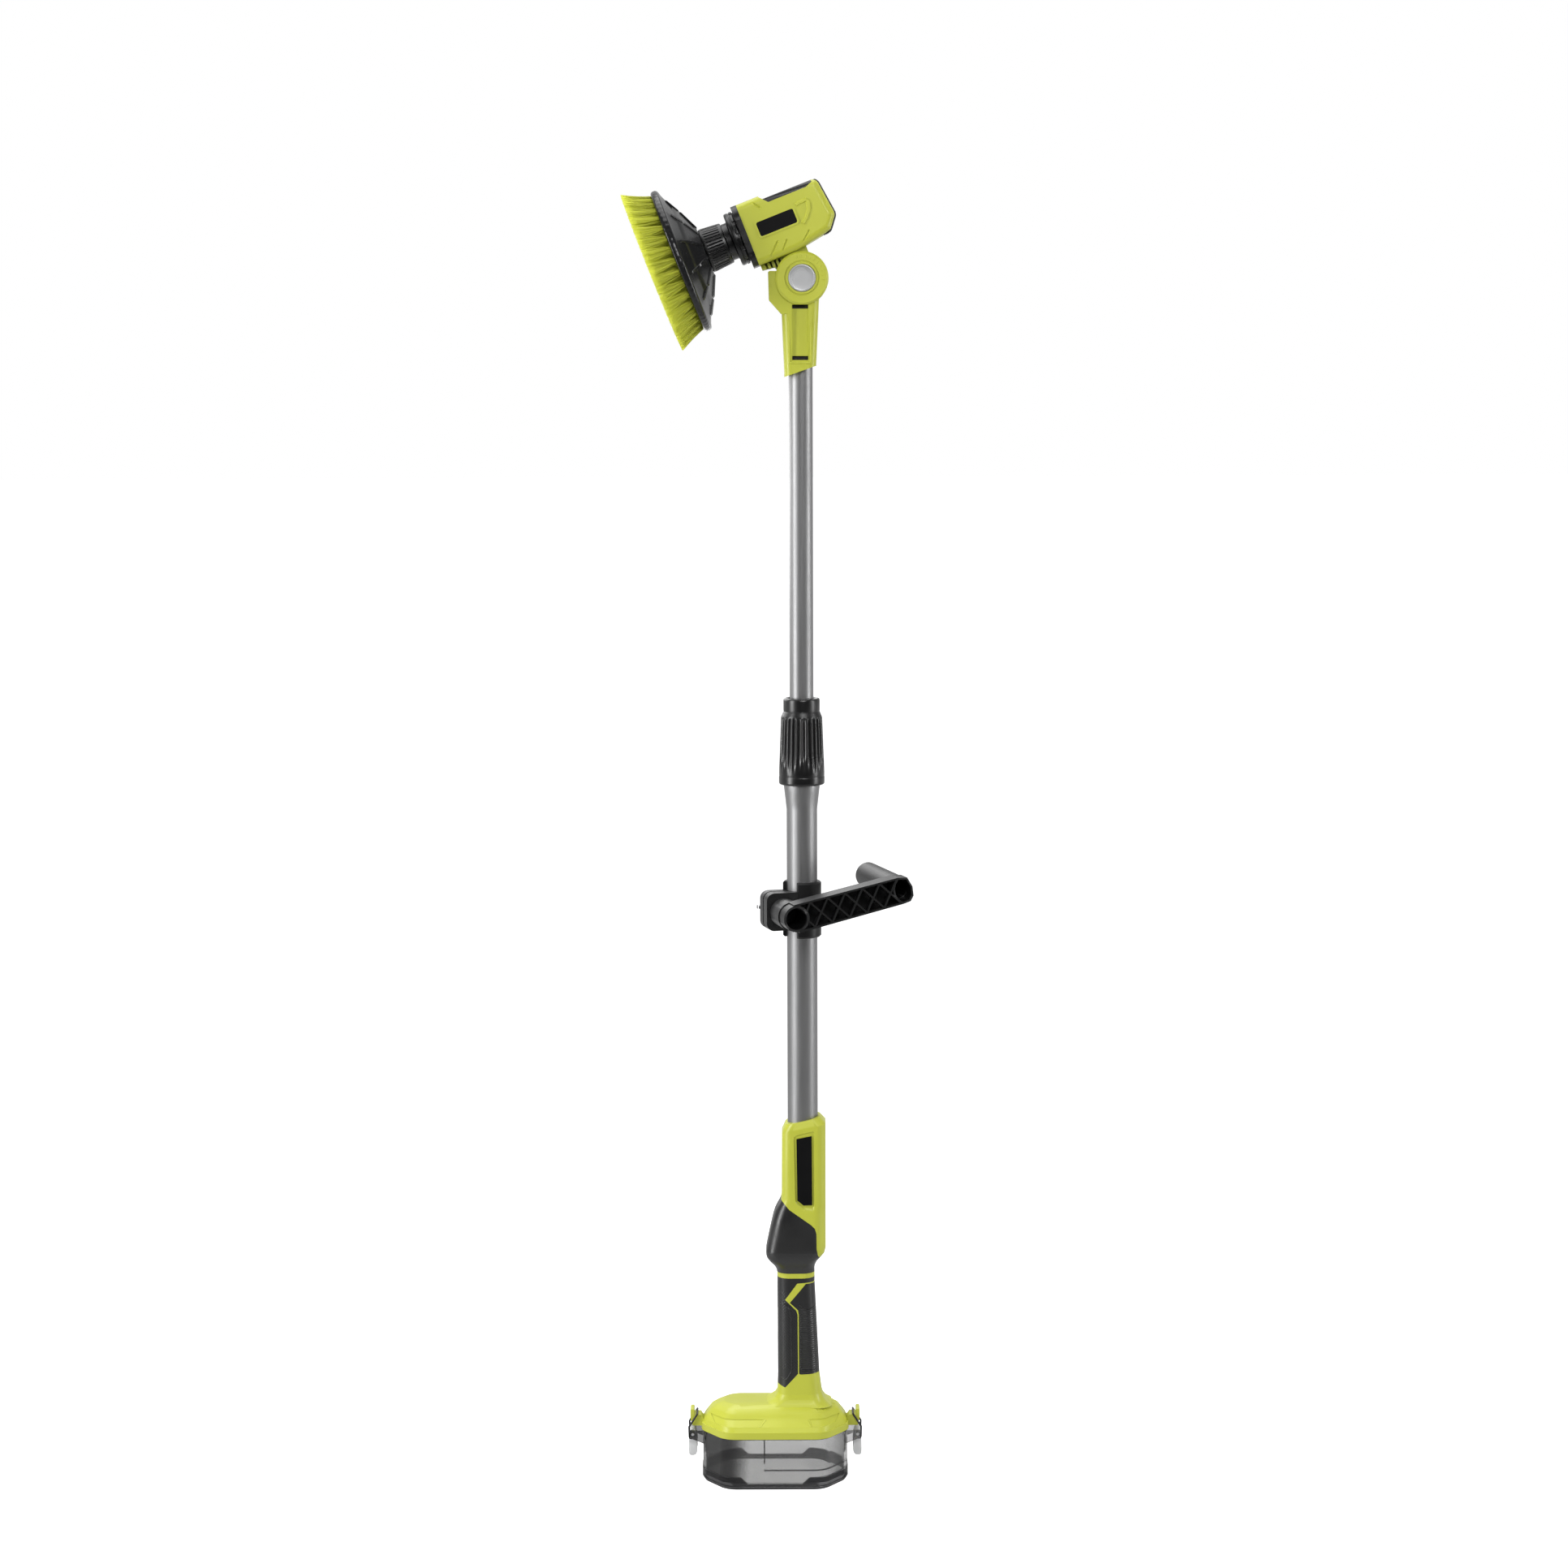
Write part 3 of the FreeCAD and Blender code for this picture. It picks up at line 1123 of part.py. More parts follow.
def make_fork():
    """Fork at the head of the upper pole: stem, two cheeks with proud rings and a horn, in two halves."""
    stem = stack([(STEM_LOW_LEFT, STEM_LOW_RIGHT, STEM_HALF, STEM_CORNER, STEM_CUT_LEFT - STEM_CORNER),
                  (STEM_LOW_LEFT, STEM_LOW_RIGHT, STEM_HALF, STEM_CORNER, STEM_LOW_Z),
                  (STEM_HIGH_LEFT, STEM_HIGH_RIGHT, CHEEK_OUT, STEM_CORNER, STEM_HIGH_Z)])
    slant = STEM_CUT_RIGHT - STEM_CUT_LEFT
    under = ((STEM_LOW_LEFT * 2, STEM_CUT_LEFT - slant / 2), (STEM_LOW_RIGHT * 2, STEM_CUT_RIGHT + slant / 2),
             (STEM_LOW_RIGHT * 2, STEM_CUT_LEFT - CUT_OVER), (STEM_LOW_LEFT * 2, STEM_CUT_LEFT - CUT_OVER))
    stem = stem.cut(side_plate(under, -CUT_OVER, CUT_OVER))
    pivot = V(PIVOT_X, 0, PIVOT_Z)
    cheeks = rod(LUG_R, pivot - V(0, CHEEK_OUT, 0), pivot + V(0, CHEEK_OUT, 0))
    horn_edge = spread(HORN_SHARES, PIVOT_X, PIVOT_X + RING_R, PIVOT_Z, PIVOT_Z + RING_R)
    horn = side_plate(horn_edge, -CHEEK_OUT, CHEEK_OUT, [RING_ROUND, RING_ROUND, 0, 0, 0])
    web = side_plate(((STEM_HIGH_LEFT, STEM_HIGH_Z - SEAT_GAP), (STEM_HIGH_RIGHT, STEM_HIGH_Z - SEAT_GAP),
                      (PIVOT_X + LUG_R, PIVOT_Z), (PIVOT_X - LUG_R, PIVOT_Z)), -CHEEK_OUT, CHEEK_OUT)
    ring_low = CHEEK_OUT - RING_ROUND
    ring = turned(((0, -RING_OUT), (RING_R - RING_ROUND, -RING_OUT), (RING_R, RING_ROUND - RING_OUT),
                   (RING_R, -ring_low), (0, -ring_low)),
                  pivot, V(0, 1, 0), V(1, 0, 0))
    solid = stem.fuse(cheeks).fuse(horn).fuse(web).fuse(ring).fuse(ring.mirror(V(0, 0, 0), V(0, 1, 0)))
    gap = LUG_HALF + FORK_GAP
    slot = rod(LUG_R + FORK_GAP, pivot - V(0, gap, 0), pivot + V(0, gap, 0))
    above = box(-CUT_OVER, CUT_OVER, -gap, gap, PIVOT_Z, PIVOT_Z + CUT_OVER)
    rear = box(PIVOT_X, CUT_OVER, -gap, gap, PIVOT_Z - LUG_ROOT_U - FREE_GAP, PIVOT_Z)
    solid = solid.cut(slot).cut(above).cut(rear)
    solid = solid.cut(rod(INNER_R + SEAT_GAP / 2, V(0, 0, STEM_CUT_LEFT - CUT_OVER), V(0, 0, INNER_TOP)))
    window = box(WINDOW_LEFT, WINDOW_RIGHT, -CUT_OVER, WINDOW_DEPTH - STEM_HALF, WINDOW_LOW_Z, WINDOW_TOP)
    solid = solid.cut(window)
    for z in (WINDOW_LOW_Z, WINDOW_TOP - WINDOW_SLOT):
        solid = solid.cut(box(WINDOW_LEFT, WINDOW_RIGHT, -STEM_HALF - CUT_OVER, -INNER_R, z, z + WINDOW_SLOT))
    solid = solid.cut(rod(BUTTON_R + FREE_GAP, pivot - V(0, CUT_OVER, 0), pivot - V(0, gap - SEAT_GAP, 0)))
    solid = solid.cut(rod(PIVOT_R + RUN_GAP, pivot, pivot + V(0, CUT_OVER, 0)))
    solid = solid.cut(rod(PIVOT_HEAD_R + SEAT_GAP, pivot + V(0, RING_OUT - PIVOT_HEAD, 0),
                          pivot + V(0, CUT_OVER, 0)))
    return solid


def make_fork_pieces():
    """Near and far halves of the fork, and the screw that holds them."""
    solid = make_fork()
    spot = V(STEM_SCREW_X, 0, STEM_SCREW_Z)
    start = spot - V(0, SCREW_LENGTH / 2, 0)
    seat = spot + V(0, CHEEK_OUT - SCREW_HEAD - SEAT_GAP, 0)
    screw = rod(SCREW_R, start, seat).fuse(rod(SCREW_HEAD_R, seat, seat + V(0, SCREW_HEAD, 0)))
    solid = solid.cut(rod(SCREW_R + RUN_GAP, start, seat))
    solid = solid.cut(rod(SCREW_HEAD_R + SEAT_GAP, seat, seat + V(0, CUT_OVER, 0)))
    save("fork_near", near_half(solid))
    save("fork_far", far_half(solid))
    save("fork_screw", screw)


def make_lock_button():
    """Round silver button, hollow behind."""
    pivot = V(PIVOT_X, 0, PIVOT_Z)
    front = BUTTON_FRONT
    body = turned(((0, front), (BUTTON_R - RING_ROUND / 2, front), (BUTTON_R, front + RING_ROUND / 2),
                   (BUTTON_R, front + BUTTON_LENGTH), (BUTTON_R - BUTTON_WALL, front + BUTTON_LENGTH),
                   (BUTTON_R - BUTTON_WALL, front + BUTTON_WALL), (0, front + BUTTON_WALL)), pivot,
                   V(0, 1, 0), V(1, 0, 0))
    return body


def make_button_spring():
    """Sleeve form of the spring behind the button."""
    pivot = V(PIVOT_X, 0, PIVOT_Z)
    start = pivot + V(0, BUTTON_FRONT + BUTTON_WALL + SEAT_GAP, 0)
    end = pivot + V(0, -LUG_HALF - FORK_GAP, 0)
    return tube(BUTTON_SPRING_R, BUTTON_SPRING_R - BUTTON_SPRING_WIRE, start, end)


def make_pivot_bolt():
    """Bolt that the head turns on, its head sunk in the far cheek."""
    pivot = V(PIVOT_X, 0, PIVOT_Z)
    head_y = RING_OUT - PIVOT_HEAD + SEAT_GAP
    shaft = rod(PIVOT_R, pivot + V(0, -LUG_HALF - FORK_GAP - NUT_THICK, 0), pivot + V(0, head_y, 0))
    head = rod(PIVOT_HEAD_R, pivot + V(0, head_y, 0), pivot + V(0, head_y + PIVOT_HEAD - RING_ROUND / 2, 0))
    return shaft.fuse(head)


def make_pivot_nut():
    """Hexagon nut on the near end of the pivot bolt."""
    centre = V(PIVOT_X, -LUG_HALF - FORK_GAP, PIVOT_Z)
    corners = []
    for i in range(6):
        angle = math.pi * i / 3
        corners.append(centre + V(NUT_R * math.cos(angle), 0, NUT_R * math.sin(angle)))
    nut = Part.Face(Part.makePolygon(corners + [corners[0]])).extrude(V(0, -NUT_THICK, 0))
    return nut.cut(rod(PIVOT_R + RUN_GAP, centre, centre - V(0, CUT_OVER, 0)))


def head_outline(grow):
    """Side outline of the head's housing, grown by a margin, without the notch on top."""
    points = ((HEAD_FRONT, HEAD_BOTTOM_FRONT), (HEAD_BOTTOM_BEND_U, HEAD_BOTTOM_FRONT),
              (HEAD_BOTTOM_REAR_U, HEAD_BOTTOM_REAR_W),
              (HEAD_HEEL_U, HEAD_HEEL_W), (HEAD_REAR_U, HEAD_REAR_W), (HEAD_CROWN_U, HEAD_CROWN_W),
              (HEAD_CROWN_IN_U, HEAD_CROWN_TOP_W), (INSERT_START_U, HEAD_TOP_W), (HEAD_FRONT, HEAD_TOP_W))
    round_half = HEAD_ROUND / 2
    radii = [0, HEAD_ROUND, HEAD_ROUND, round_half, HEAD_ROUND, HEAD_ROUND, HEAD_ROUND, 0, 0]
    wire = rounded_wire([V(u, 0, w) for u, w in points], radii)
    if grow:
        wire = wire.makeOffset2D(grow)
    return wire


def head_slab(grow, half):
    """The head's outline as a slab of a given half width."""
    face = Part.Face(head_outline(grow))
    slab = face.extrude(V(0, half + half, 0))
    slab.translate(V(0, -half, 0))
    return slab


def rounded_head():
    """The head's housing with its long side edges rounded."""
    slab = head_slab(0, HEAD_HALF)
    edges = []
    for edge in slab.Edges:
        middle = edge.valueAt((edge.FirstParameter + edge.LastParameter) / 2)
        on_side = abs(abs(middle.y) - HEAD_HALF) < SEAT_GAP
        if on_side and middle.x > HEAD_FRONT + SEAT_GAP:
            edges.append(edge)
    return slab.makeFillet(HEAD_ROUND - SEAT_GAP, edges)


def insert_outline(drop):
    """Notch on top of the head that the rubber insert fills."""
    return ((INSERT_START_U, HEAD_TOP_W + CUT_OVER - drop), (INSERT_START_U, HEAD_TOP_W - INSERT_PROUD),
            (INSERT_SLOPE_U, INSERT_W), (HEAD_CROWN_IN_U - HEAD_ROUND, INSERT_W),
            (HEAD_CROWN_IN_U, HEAD_CROWN_W), (HEAD_CROWN_IN_U, HEAD_TOP_W + CUT_OVER - drop))


def head_lug():
    """Lug under the head that turns between the cheeks, with slots between its front fins."""
    disc = rod(LUG_R - FORK_GAP, V(0, -LUG_HALF, 0), V(0, LUG_HALF, 0))
    top = HEAD_BOTTOM_FRONT + HEAD_WALL
    wedge = side_plate(((LUG_FRONT_U, top), (LUG_FRONT_U, LUG_FRONT_W), (LUG_STEP_U, LUG_STEP_W),
                        (LUG_STEP_U + LUG_ROOT_W / 2, 0),
                        (LUG_ROOT_U, 0), (LUG_ROOT_U, top)), -LUG_HALF, LUG_HALF)
    solid = disc.fuse(wedge)
    for i in range(FIN_SLOTS):
        u = LUG_FRONT_U + FIN_PITCH * (i + 1)
        for side in (-1, 1):
            y = side * LUG_HALF
            solid = solid.cut(box(u, u + FIN_SLOT, min(y, y - side * FIN_DEPTH), max(y, y - side * FIN_DEPTH),
                                  LUG_STEP_W - CUT_OVER, HEAD_BOTTOM_FRONT - SEAT_GAP))
    return solid.cut(rod(PIVOT_R + RUN_GAP, V(0, -CUT_OVER, 0), V(0, CUT_OVER, 0)))


def motor_room():
    """Space for the motor, the gearbox and the spindle inside the head."""
    gap = SEAT_GAP / 2
    return turned_drive(((0, HEAD_FRONT), (GEARBOX_R + gap, HEAD_FRONT),
                         (GEARBOX_R + gap, MOTOR_FRONT + gap), (MOTOR_R + gap, MOTOR_FRONT + gap),
                         (MOTOR_R + gap, MOTOR_FRONT + MOTOR_LENGTH + gap),
                         (0, MOTOR_FRONT + MOTOR_LENGTH + gap)))


def make_head_pieces():
    """Near and far head shells, the rubber bumper, the bare badge plate and the screws."""
    body = rounded_head()
    insert_space = side_plate(insert_outline(0), -CUT_OVER, CUT_OVER)
    band_space = head_slab(BUMPER_PROUD, BAND_HALF).cut(head_slab(-BUMPER_SUNK, CUT_OVER))
    band_space = band_space.common(box(HEAD_CROWN_IN_U - HEAD_ROUND, CUT_OVER + CUT_OVER, -CUT_OVER, CUT_OVER,
                                       HEAD_HEEL_W - HEAD_WALL, HEAD_TOP_W))
    insert = body.common(insert_space)
    bridge = box(HEAD_CROWN_IN_U - HEAD_ROUND, HEAD_CROWN_U, -BAND_HALF, BAND_HALF, INSERT_W - BUMPER_SUNK,
                 HEAD_TOP_W).common(body)
    band_space = band_space.fuse(bridge)
    above = box(-CUT_OVER, CUT_OVER, -CUT_OVER, CUT_OVER, HEAD_TOP_W - INSERT_TOP_DROP, HEAD_TOP_W + CUT_OVER)
    bumper = insert.fuse(band_space).cut(above)
    shell = body.cut(insert_space).cut(band_space)
    badge_box = side_plate(((HEAD_BADGE_LEFT, HEAD_BADGE_LOW), (HEAD_BADGE_RIGHT, HEAD_BADGE_LOW),
                            (HEAD_BADGE_RIGHT, HEAD_BADGE_HIGH), (HEAD_BADGE_LEFT, HEAD_BADGE_HIGH)),
                            -HEAD_HALF - BADGE_RAISE + BADGE_THICK / 3, -HEAD_HALF + BADGE_THICK,
                            BADGE_CORNER)
    rim = BADGE_FRAME
    frame = side_plate(((HEAD_BADGE_LEFT - rim, HEAD_BADGE_LOW - rim),
                        (HEAD_BADGE_RIGHT + rim, HEAD_BADGE_LOW - rim),
                        (HEAD_BADGE_RIGHT + rim, HEAD_BADGE_HIGH + rim),
                        (HEAD_BADGE_LEFT - rim, HEAD_BADGE_HIGH + rim)), -HEAD_HALF - BADGE_RAISE,
                        -HEAD_HALF + BADGE_THICK, BADGE_CORNER + rim)
    hollow = side_plate(((HEAD_BADGE_LEFT, HEAD_BADGE_LOW), (HEAD_BADGE_RIGHT, HEAD_BADGE_LOW),
                         (HEAD_BADGE_RIGHT, HEAD_BADGE_HIGH),
                         (HEAD_BADGE_LEFT,
                          HEAD_BADGE_HIGH)), -CUT_OVER, -HEAD_HALF + BADGE_THICK, BADGE_CORNER)
    shell = shell.fuse(frame).cut(hollow).fuse(head_lug()).cut(motor_room())
    screws = []
    for along, up in HEAD_SCREW_SHARES:
        spot = V(HEAD_REAR_U * along, 0, HEAD_TOP_W * up)
        shaft = rod(SCREW_R, spot + V(0, -SCREW_LENGTH / 2, 0), spot + V(0, SCREW_LENGTH, 0))
        head = rod(SCREW_HEAD_R, spot + V(0, SCREW_LENGTH, 0), spot + V(0, SCREW_LENGTH + SCREW_HEAD, 0))
        screws.append(shaft.fuse(head))
        shell = shell.cut(rod(SCREW_R + RUN_GAP, spot + V(0, -SCREW_LENGTH / 2, 0),
                              spot + V(0, SCREW_LENGTH, 0)))
        shell = shell.cut(rod(SCREW_HEAD_R + SEAT_GAP, spot + V(0, SCREW_LENGTH, 0),
                              spot + V(0, CUT_OVER, 0)))
    save("head_shell_near", head_placed(near_half(shell)))
    save("head_shell_far", head_placed(far_half(shell)))
    save("head_bumper", head_placed(bumper))
    save("head_plate", head_placed(badge_box))
    save("head_screws", head_placed(Part.makeCompound(screws)))


def make_motor():
    """Motor can behind the gearbox."""
    start = V(MOTOR_FRONT, 0, DRIVE_W)
    return rod(MOTOR_R, start, start + V(MOTOR_LENGTH, 0, 0))


def make_gearbox():
    """Gearbox in front of the motor, with the bore for the spindle."""
    start = V(HEAD_FRONT, 0, DRIVE_W)
    solid = rod(GEARBOX_R, start, V(MOTOR_FRONT, 0, DRIVE_W))
    return solid.cut(rod(SPINDLE_R + RUN_GAP, start, V(MOTOR_FRONT - HEAD_WALL, 0, DRIVE_W)))


def make_nose_flange():
    """Black flange that closes the front of the head."""
    back = HEAD_FRONT
    front = HEAD_FRONT - FLANGE_LENGTH
    corners = [V(front, -FLANGE_HALF_Y, FLANGE_LOW_W), V(front, FLANGE_HALF_Y, FLANGE_LOW_W),
               V(front, FLANGE_HALF_Y, FLANGE_TOP_W), V(front, -FLANGE_HALF_Y, FLANGE_TOP_W)]
    face = Part.Face(rounded_wire(corners, [FLANGE_ROUND] * len(corners)))
    solid = face.extrude(V(back - front, 0, 0))
    return solid.cut(rod(SPINDLE_R + HEAD_WALL, V(front, 0, DRIVE_W), V(back, 0, DRIVE_W)))


def make_nose_ring():
    """Stepped black ring in front of the flange, with the bearing's seat."""
    back = HEAD_FRONT - FLANGE_LENGTH
    front = back - NOSE_GAP - NOSE_LENGTH
    neck = front - NOSE_NECK_LENGTH
    seat = front + NOSE_NECK_LENGTH
    return turned_drive(((SPINDLE_R + HEAD_WALL, back), (NOSE_R - NOSE_GROOVE, back),
                         (NOSE_R - NOSE_GROOVE, back - NOSE_GAP), (NOSE_R, back - NOSE_GAP), (NOSE_R, front),
                         (NOSE_NECK_R, front), (NOSE_NECK_R, neck), (BEARING_R + SEAT_GAP / 2, neck),
                         (BEARING_R + SEAT_GAP / 2, seat), (SPINDLE_R + HEAD_WALL, seat)))


def make_bearing():
    """Spindle bearing in the nose ring."""
    seat = HEAD_FRONT - FLANGE_LENGTH - NOSE_GAP - NOSE_LENGTH + NOSE_NECK_LENGTH
    start = V(seat - SEAT_GAP / 2, 0, DRIVE_W)
    return tube(BEARING_R, SPINDLE_R + RUN_GAP, start, start - V(BEARING_LENGTH - FREE_GAP, 0, 0))


def make_spindle():
    """Drive spindle from the gearbox to the brush hub."""
    return rod(SPINDLE_R, V(MOTOR_FRONT - HEAD_WALL - FREE_GAP, 0, DRIVE_W), V(DISC_SLOPE_U, 0, DRIVE_W))


def make_brush_collar():
    """Ribbed collar that locks the brush on the spindle."""
    solid = turned_drive(((SPINDLE_R + RUN_GAP, COLLAR_REAR_U), (COLLAR_REAR_R - NOSE_GROOVE, COLLAR_REAR_U),
                          (COLLAR_REAR_R, COLLAR_REAR_U - NOSE_GROOVE),
                          (COLLAR_FRONT_R, COLLAR_FRONT_U + NOSE_GROOVE),
                          (COLLAR_FRONT_R - NOSE_GROOVE / 2, COLLAR_FRONT_U),
                          (SPINDLE_R + RUN_GAP, COLLAR_FRONT_U)))
    for i in range(COLLAR_RIBS):
        angle = 2 * math.pi * i / COLLAR_RIBS
        way = V(0, math.cos(angle), math.sin(angle))
        start = V(COLLAR_REAR_U - NOSE_GROOVE - COLLAR_RIB_R, 0, DRIVE_W) + way * COLLAR_REAR_R
        end = V(COLLAR_FRONT_U + NOSE_GROOVE + COLLAR_RIB_R, 0, DRIVE_W) + way * COLLAR_FRONT_R
        across = V(0, -math.sin(angle), math.cos(angle)) * COLLAR_RIB_R
        deep = way * COLLAR_RIB_R
        notch = Part.Face(Part.makePolygon([start - across + deep, start + across + deep, start - deep,
                                            start - across + deep]))
        solid = solid.cut(notch.extrude(end - start))
    return solid


def make_brush_disc():
    """Black brush back: dished cone with radial ribs, rim and hub."""
    wall = DISC_WALL
    profile = ((SPINDLE_R + RUN_GAP, COLLAR_FRONT_U - SEAT_GAP), (DISC_HUB_R, COLLAR_FRONT_U - NOSE_GROOVE),
               (DISC_SLOPE_R, DISC_SLOPE_U), (DISC_STEP_R, DISC_STEP_U), (DISC_R - wall / 2, DISC_EDGE_U),
               (DISC_R, DISC_EDGE_U - wall / 2), (DISC_R, DISC_ROOT_U), (SPINDLE_R + RUN_GAP, DISC_ROOT_U))
    solid = turned_drive(profile)
    for i in range(DISC_RIBS):
        angle = 360 * i / DISC_RIBS
        half = DISC_RIB_HALF
        rib = side_plate(((DISC_HUB_U, DRIVE_W + DISC_HUB_R / 2),
                          (DISC_HUB_U, DRIVE_W + DISC_HUB_R + DISC_RIB_RISE),
                          (DISC_SLOPE_U + DISC_RIB_RISE, DRIVE_W + DISC_SLOPE_R + DISC_RIB_RISE),
                          (DISC_EDGE_U - wall, DRIVE_W + DISC_R - wall),
                          (DISC_EDGE_U - wall, DRIVE_W + DISC_HUB_R / 2)), -half, half)
        rib.rotate(V(0, 0, DRIVE_W), V(1, 0, 0), angle)
        solid = solid.fuse(rib)
    return solid.removeSplitter()


def make_bristles():
    """Flared brush of bristles, its outer face notched between the tufts."""
    tip = DISC_ROOT_U - TUFT_LENGTH
    solid = turned_drive(((0, DISC_ROOT_U), (TUFT_ROOT_R, DISC_ROOT_U), (TUFT_TIP_R, tip), (0, tip)))
    notch_end = DISC_ROOT_U - TUFT_LENGTH * TUFT_NOTCH_SHARE
    middle_r = TUFT_ROOT_R + (TUFT_TIP_R - TUFT_ROOT_R) * TUFT_NOTCH_SHARE
    cutters = None
    for i in range(TUFT_COUNT):
        points = [V(DISC_ROOT_U, -TUFT_NOTCH, DRIVE_W + TUFT_ROOT_R),
                  V(DISC_ROOT_U, TUFT_NOTCH, DRIVE_W + TUFT_ROOT_R),
                  V(DISC_ROOT_U, 0, DRIVE_W + TUFT_ROOT_R - TUFT_NOTCH * 2)]
        base = Part.makePolygon(points + [points[0]])
        apex = Part.Vertex(V(notch_end, 0, DRIVE_W + middle_r))
        cutter = Part.makeLoft([base, apex], True, True)
        cutter.rotate(V(0, 0, DRIVE_W), V(1, 0, 0), 360 * i / TUFT_COUNT)
        solid = solid.cut(cutter)
    return solid


def main():
    """Build every piece."""
    os.makedirs("parts", exist_ok=True)
    save("bin", make_bin())
    save("lid_gasket", make_gasket())
    save("lid", make_lid())
    save("battery_socket", make_battery_socket())
    save("battery_terminals", make_terminals())
    save("lid_screws", make_lid_screws())
    lever = make_lever()
    bail = make_bail()
    save("latch_lever_right", lever)
    save("latch_lever_left", mirrored_x(lever, BIN_X))
    save("wire_bail_right", bail)
    save("wire_bail_left", mirrored_x(bail, BIN_X))
    save("latch_pins", make_latch_pins())
    make_handle_pieces()
    save("trigger", make_trigger())
    save("trigger_spring", make_trigger_spring())
    save("switch", switch_block(0))
    save("outer_pole", make_outer_pole())
    save("inner_pole", make_inner_pole())
    save("guide_bush", make_guide_bush())
    save("lock_sleeve", make_lock_sleeve())
    save("collet", make_collet())
    save("twist_collar", make_twist_collar())
    save("pole_clamp", aux_placed(make_pole_clamp()))
    save("clamp_bolt", aux_placed(make_clamp_bolt()))
    save("clamp_washer", aux_placed(make_clamp_washer()))
    save("wing_nut", aux_placed(make_wing_nut()))
    save("aux_handle", aux_placed(make_aux_handle()))
    make_fork_pieces()
    save("lock_button", make_lock_button())
    save("button_spring", make_button_spring())
    save("pivot_bolt", make_pivot_bolt())
    save("pivot_nut", make_pivot_nut())
    make_head_pieces()
    save("motor", head_placed(make_motor()))
    save("gearbox", head_placed(make_gearbox()))
    save("nose_flange", head_placed(make_nose_flange()))
    save("nose_ring", head_placed(make_nose_ring()))
    save("spindle_bearing", head_placed(make_bearing()))
    save("spindle", head_placed(make_spindle()))
    save("brush_collar", head_placed(make_brush_collar()))
    save("brush_disc", head_placed(make_brush_disc()))
    save("bristles", head_placed(make_bristles()))


main()
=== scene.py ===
"""Looks of the cordless telescopic scrubber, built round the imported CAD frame. Metres, +Z up."""
import math
import random

import bmesh
import bpy
from mathutils import Matrix, Vector


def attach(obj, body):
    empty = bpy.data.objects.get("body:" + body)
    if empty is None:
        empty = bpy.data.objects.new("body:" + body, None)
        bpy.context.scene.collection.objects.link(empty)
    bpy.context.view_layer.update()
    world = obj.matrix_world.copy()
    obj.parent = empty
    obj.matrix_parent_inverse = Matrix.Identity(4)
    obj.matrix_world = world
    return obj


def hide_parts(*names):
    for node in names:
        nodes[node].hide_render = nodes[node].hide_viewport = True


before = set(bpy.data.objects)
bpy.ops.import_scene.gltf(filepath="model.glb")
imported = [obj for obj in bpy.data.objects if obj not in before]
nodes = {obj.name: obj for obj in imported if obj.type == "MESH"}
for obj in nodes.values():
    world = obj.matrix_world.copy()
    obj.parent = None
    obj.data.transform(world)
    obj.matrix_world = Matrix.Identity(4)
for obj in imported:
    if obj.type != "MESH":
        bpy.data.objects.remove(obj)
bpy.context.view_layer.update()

scene = bpy.context.scene
MM = 0.001
CAD_MERGE = 2e-6

# Places that the CAD part gives, in millimetres
PIVOT_X, PIVOT_Z = 1.5, 1230.0
BASE_X = -29.5
DRIVE_W = 60.0
PIVOT = Vector((PIVOT_X, 0.0, PIVOT_Z)) * MM
HEAD = Matrix.Translation(PIVOT) @ Matrix.Rotation(math.radians(-21.5), 4, "Y")


def smooth(obj):
    """Smooth shading on every face."""
    for face in obj.data.polygons:
        face.use_smooth = True
    return obj


def place(name, mesh):
    """New object with a mesh, linked to the scene."""
    obj = bpy.data.objects.new(name, mesh)
    scene.collection.objects.link(obj)
    return obj


def from_lists(name, points, faces, matrix=None):
    """Object from points in millimetres and faces."""
    mesh = bpy.data.meshes.new(name)
    mesh.from_pydata([Vector(p) * MM for p in points], [], faces)
    if matrix is not None:
        mesh.transform(matrix)
    mesh.validate()
    mesh.update()
    return smooth(place(name, mesh))


def tidy_normals(obj):
    """Make a closed mesh's faces look outwards."""
    bm = bmesh.new()
    bm.from_mesh(obj.data)
    bmesh.ops.recalc_face_normals(bm, faces=bm.faces)
    bm.to_mesh(obj.data)
    bm.free()
    return obj


def cad_copy(node):
    """Welded copy of a CAD node's mesh as a new object."""
    bm = bmesh.new()
    bm.from_mesh(nodes[node].data)
    bmesh.ops.remove_doubles(bm, verts=bm.verts, dist=CAD_MERGE)
    mesh = bpy.data.meshes.new(node + "_look")
    bm.to_mesh(mesh)
    bm.free()
    if mesh.attributes.get("custom_normal"):
        mesh.attributes.remove(mesh.attributes["custom_normal"])
    return smooth(place(node + "_look", mesh))


def apply_modifiers(obj):
    """Replace an object's mesh by its evaluated one."""
    graph = bpy.context.evaluated_depsgraph_get()
    graph.update()
    mesh = bpy.data.meshes.new_from_object(obj.evaluated_get(graph))
    obj.modifiers.clear()
    obj.data = mesh
    return obj


def boolean(obj, tool, operation="DIFFERENCE"):
    """Cut with a tool object, or intersect with it. The tool is removed."""
    modifier = obj.modifiers.new("boolean", "BOOLEAN")
    modifier.operation = operation
    modifier.solver = "EXACT"
    modifier.object = tool
    apply_modifiers(obj)
    bpy.data.objects.remove(tool)
    return obj


def merge(name, objects):
    """One object from several, without cutting them."""
    bm = bmesh.new()
    for obj in objects:
        bm.from_mesh(obj.data)
    mesh = bpy.data.meshes.new(name)
    bm.to_mesh(mesh)
    bm.free()
    for obj in objects:
        bpy.data.objects.remove(obj)
    return smooth(place(name, mesh))


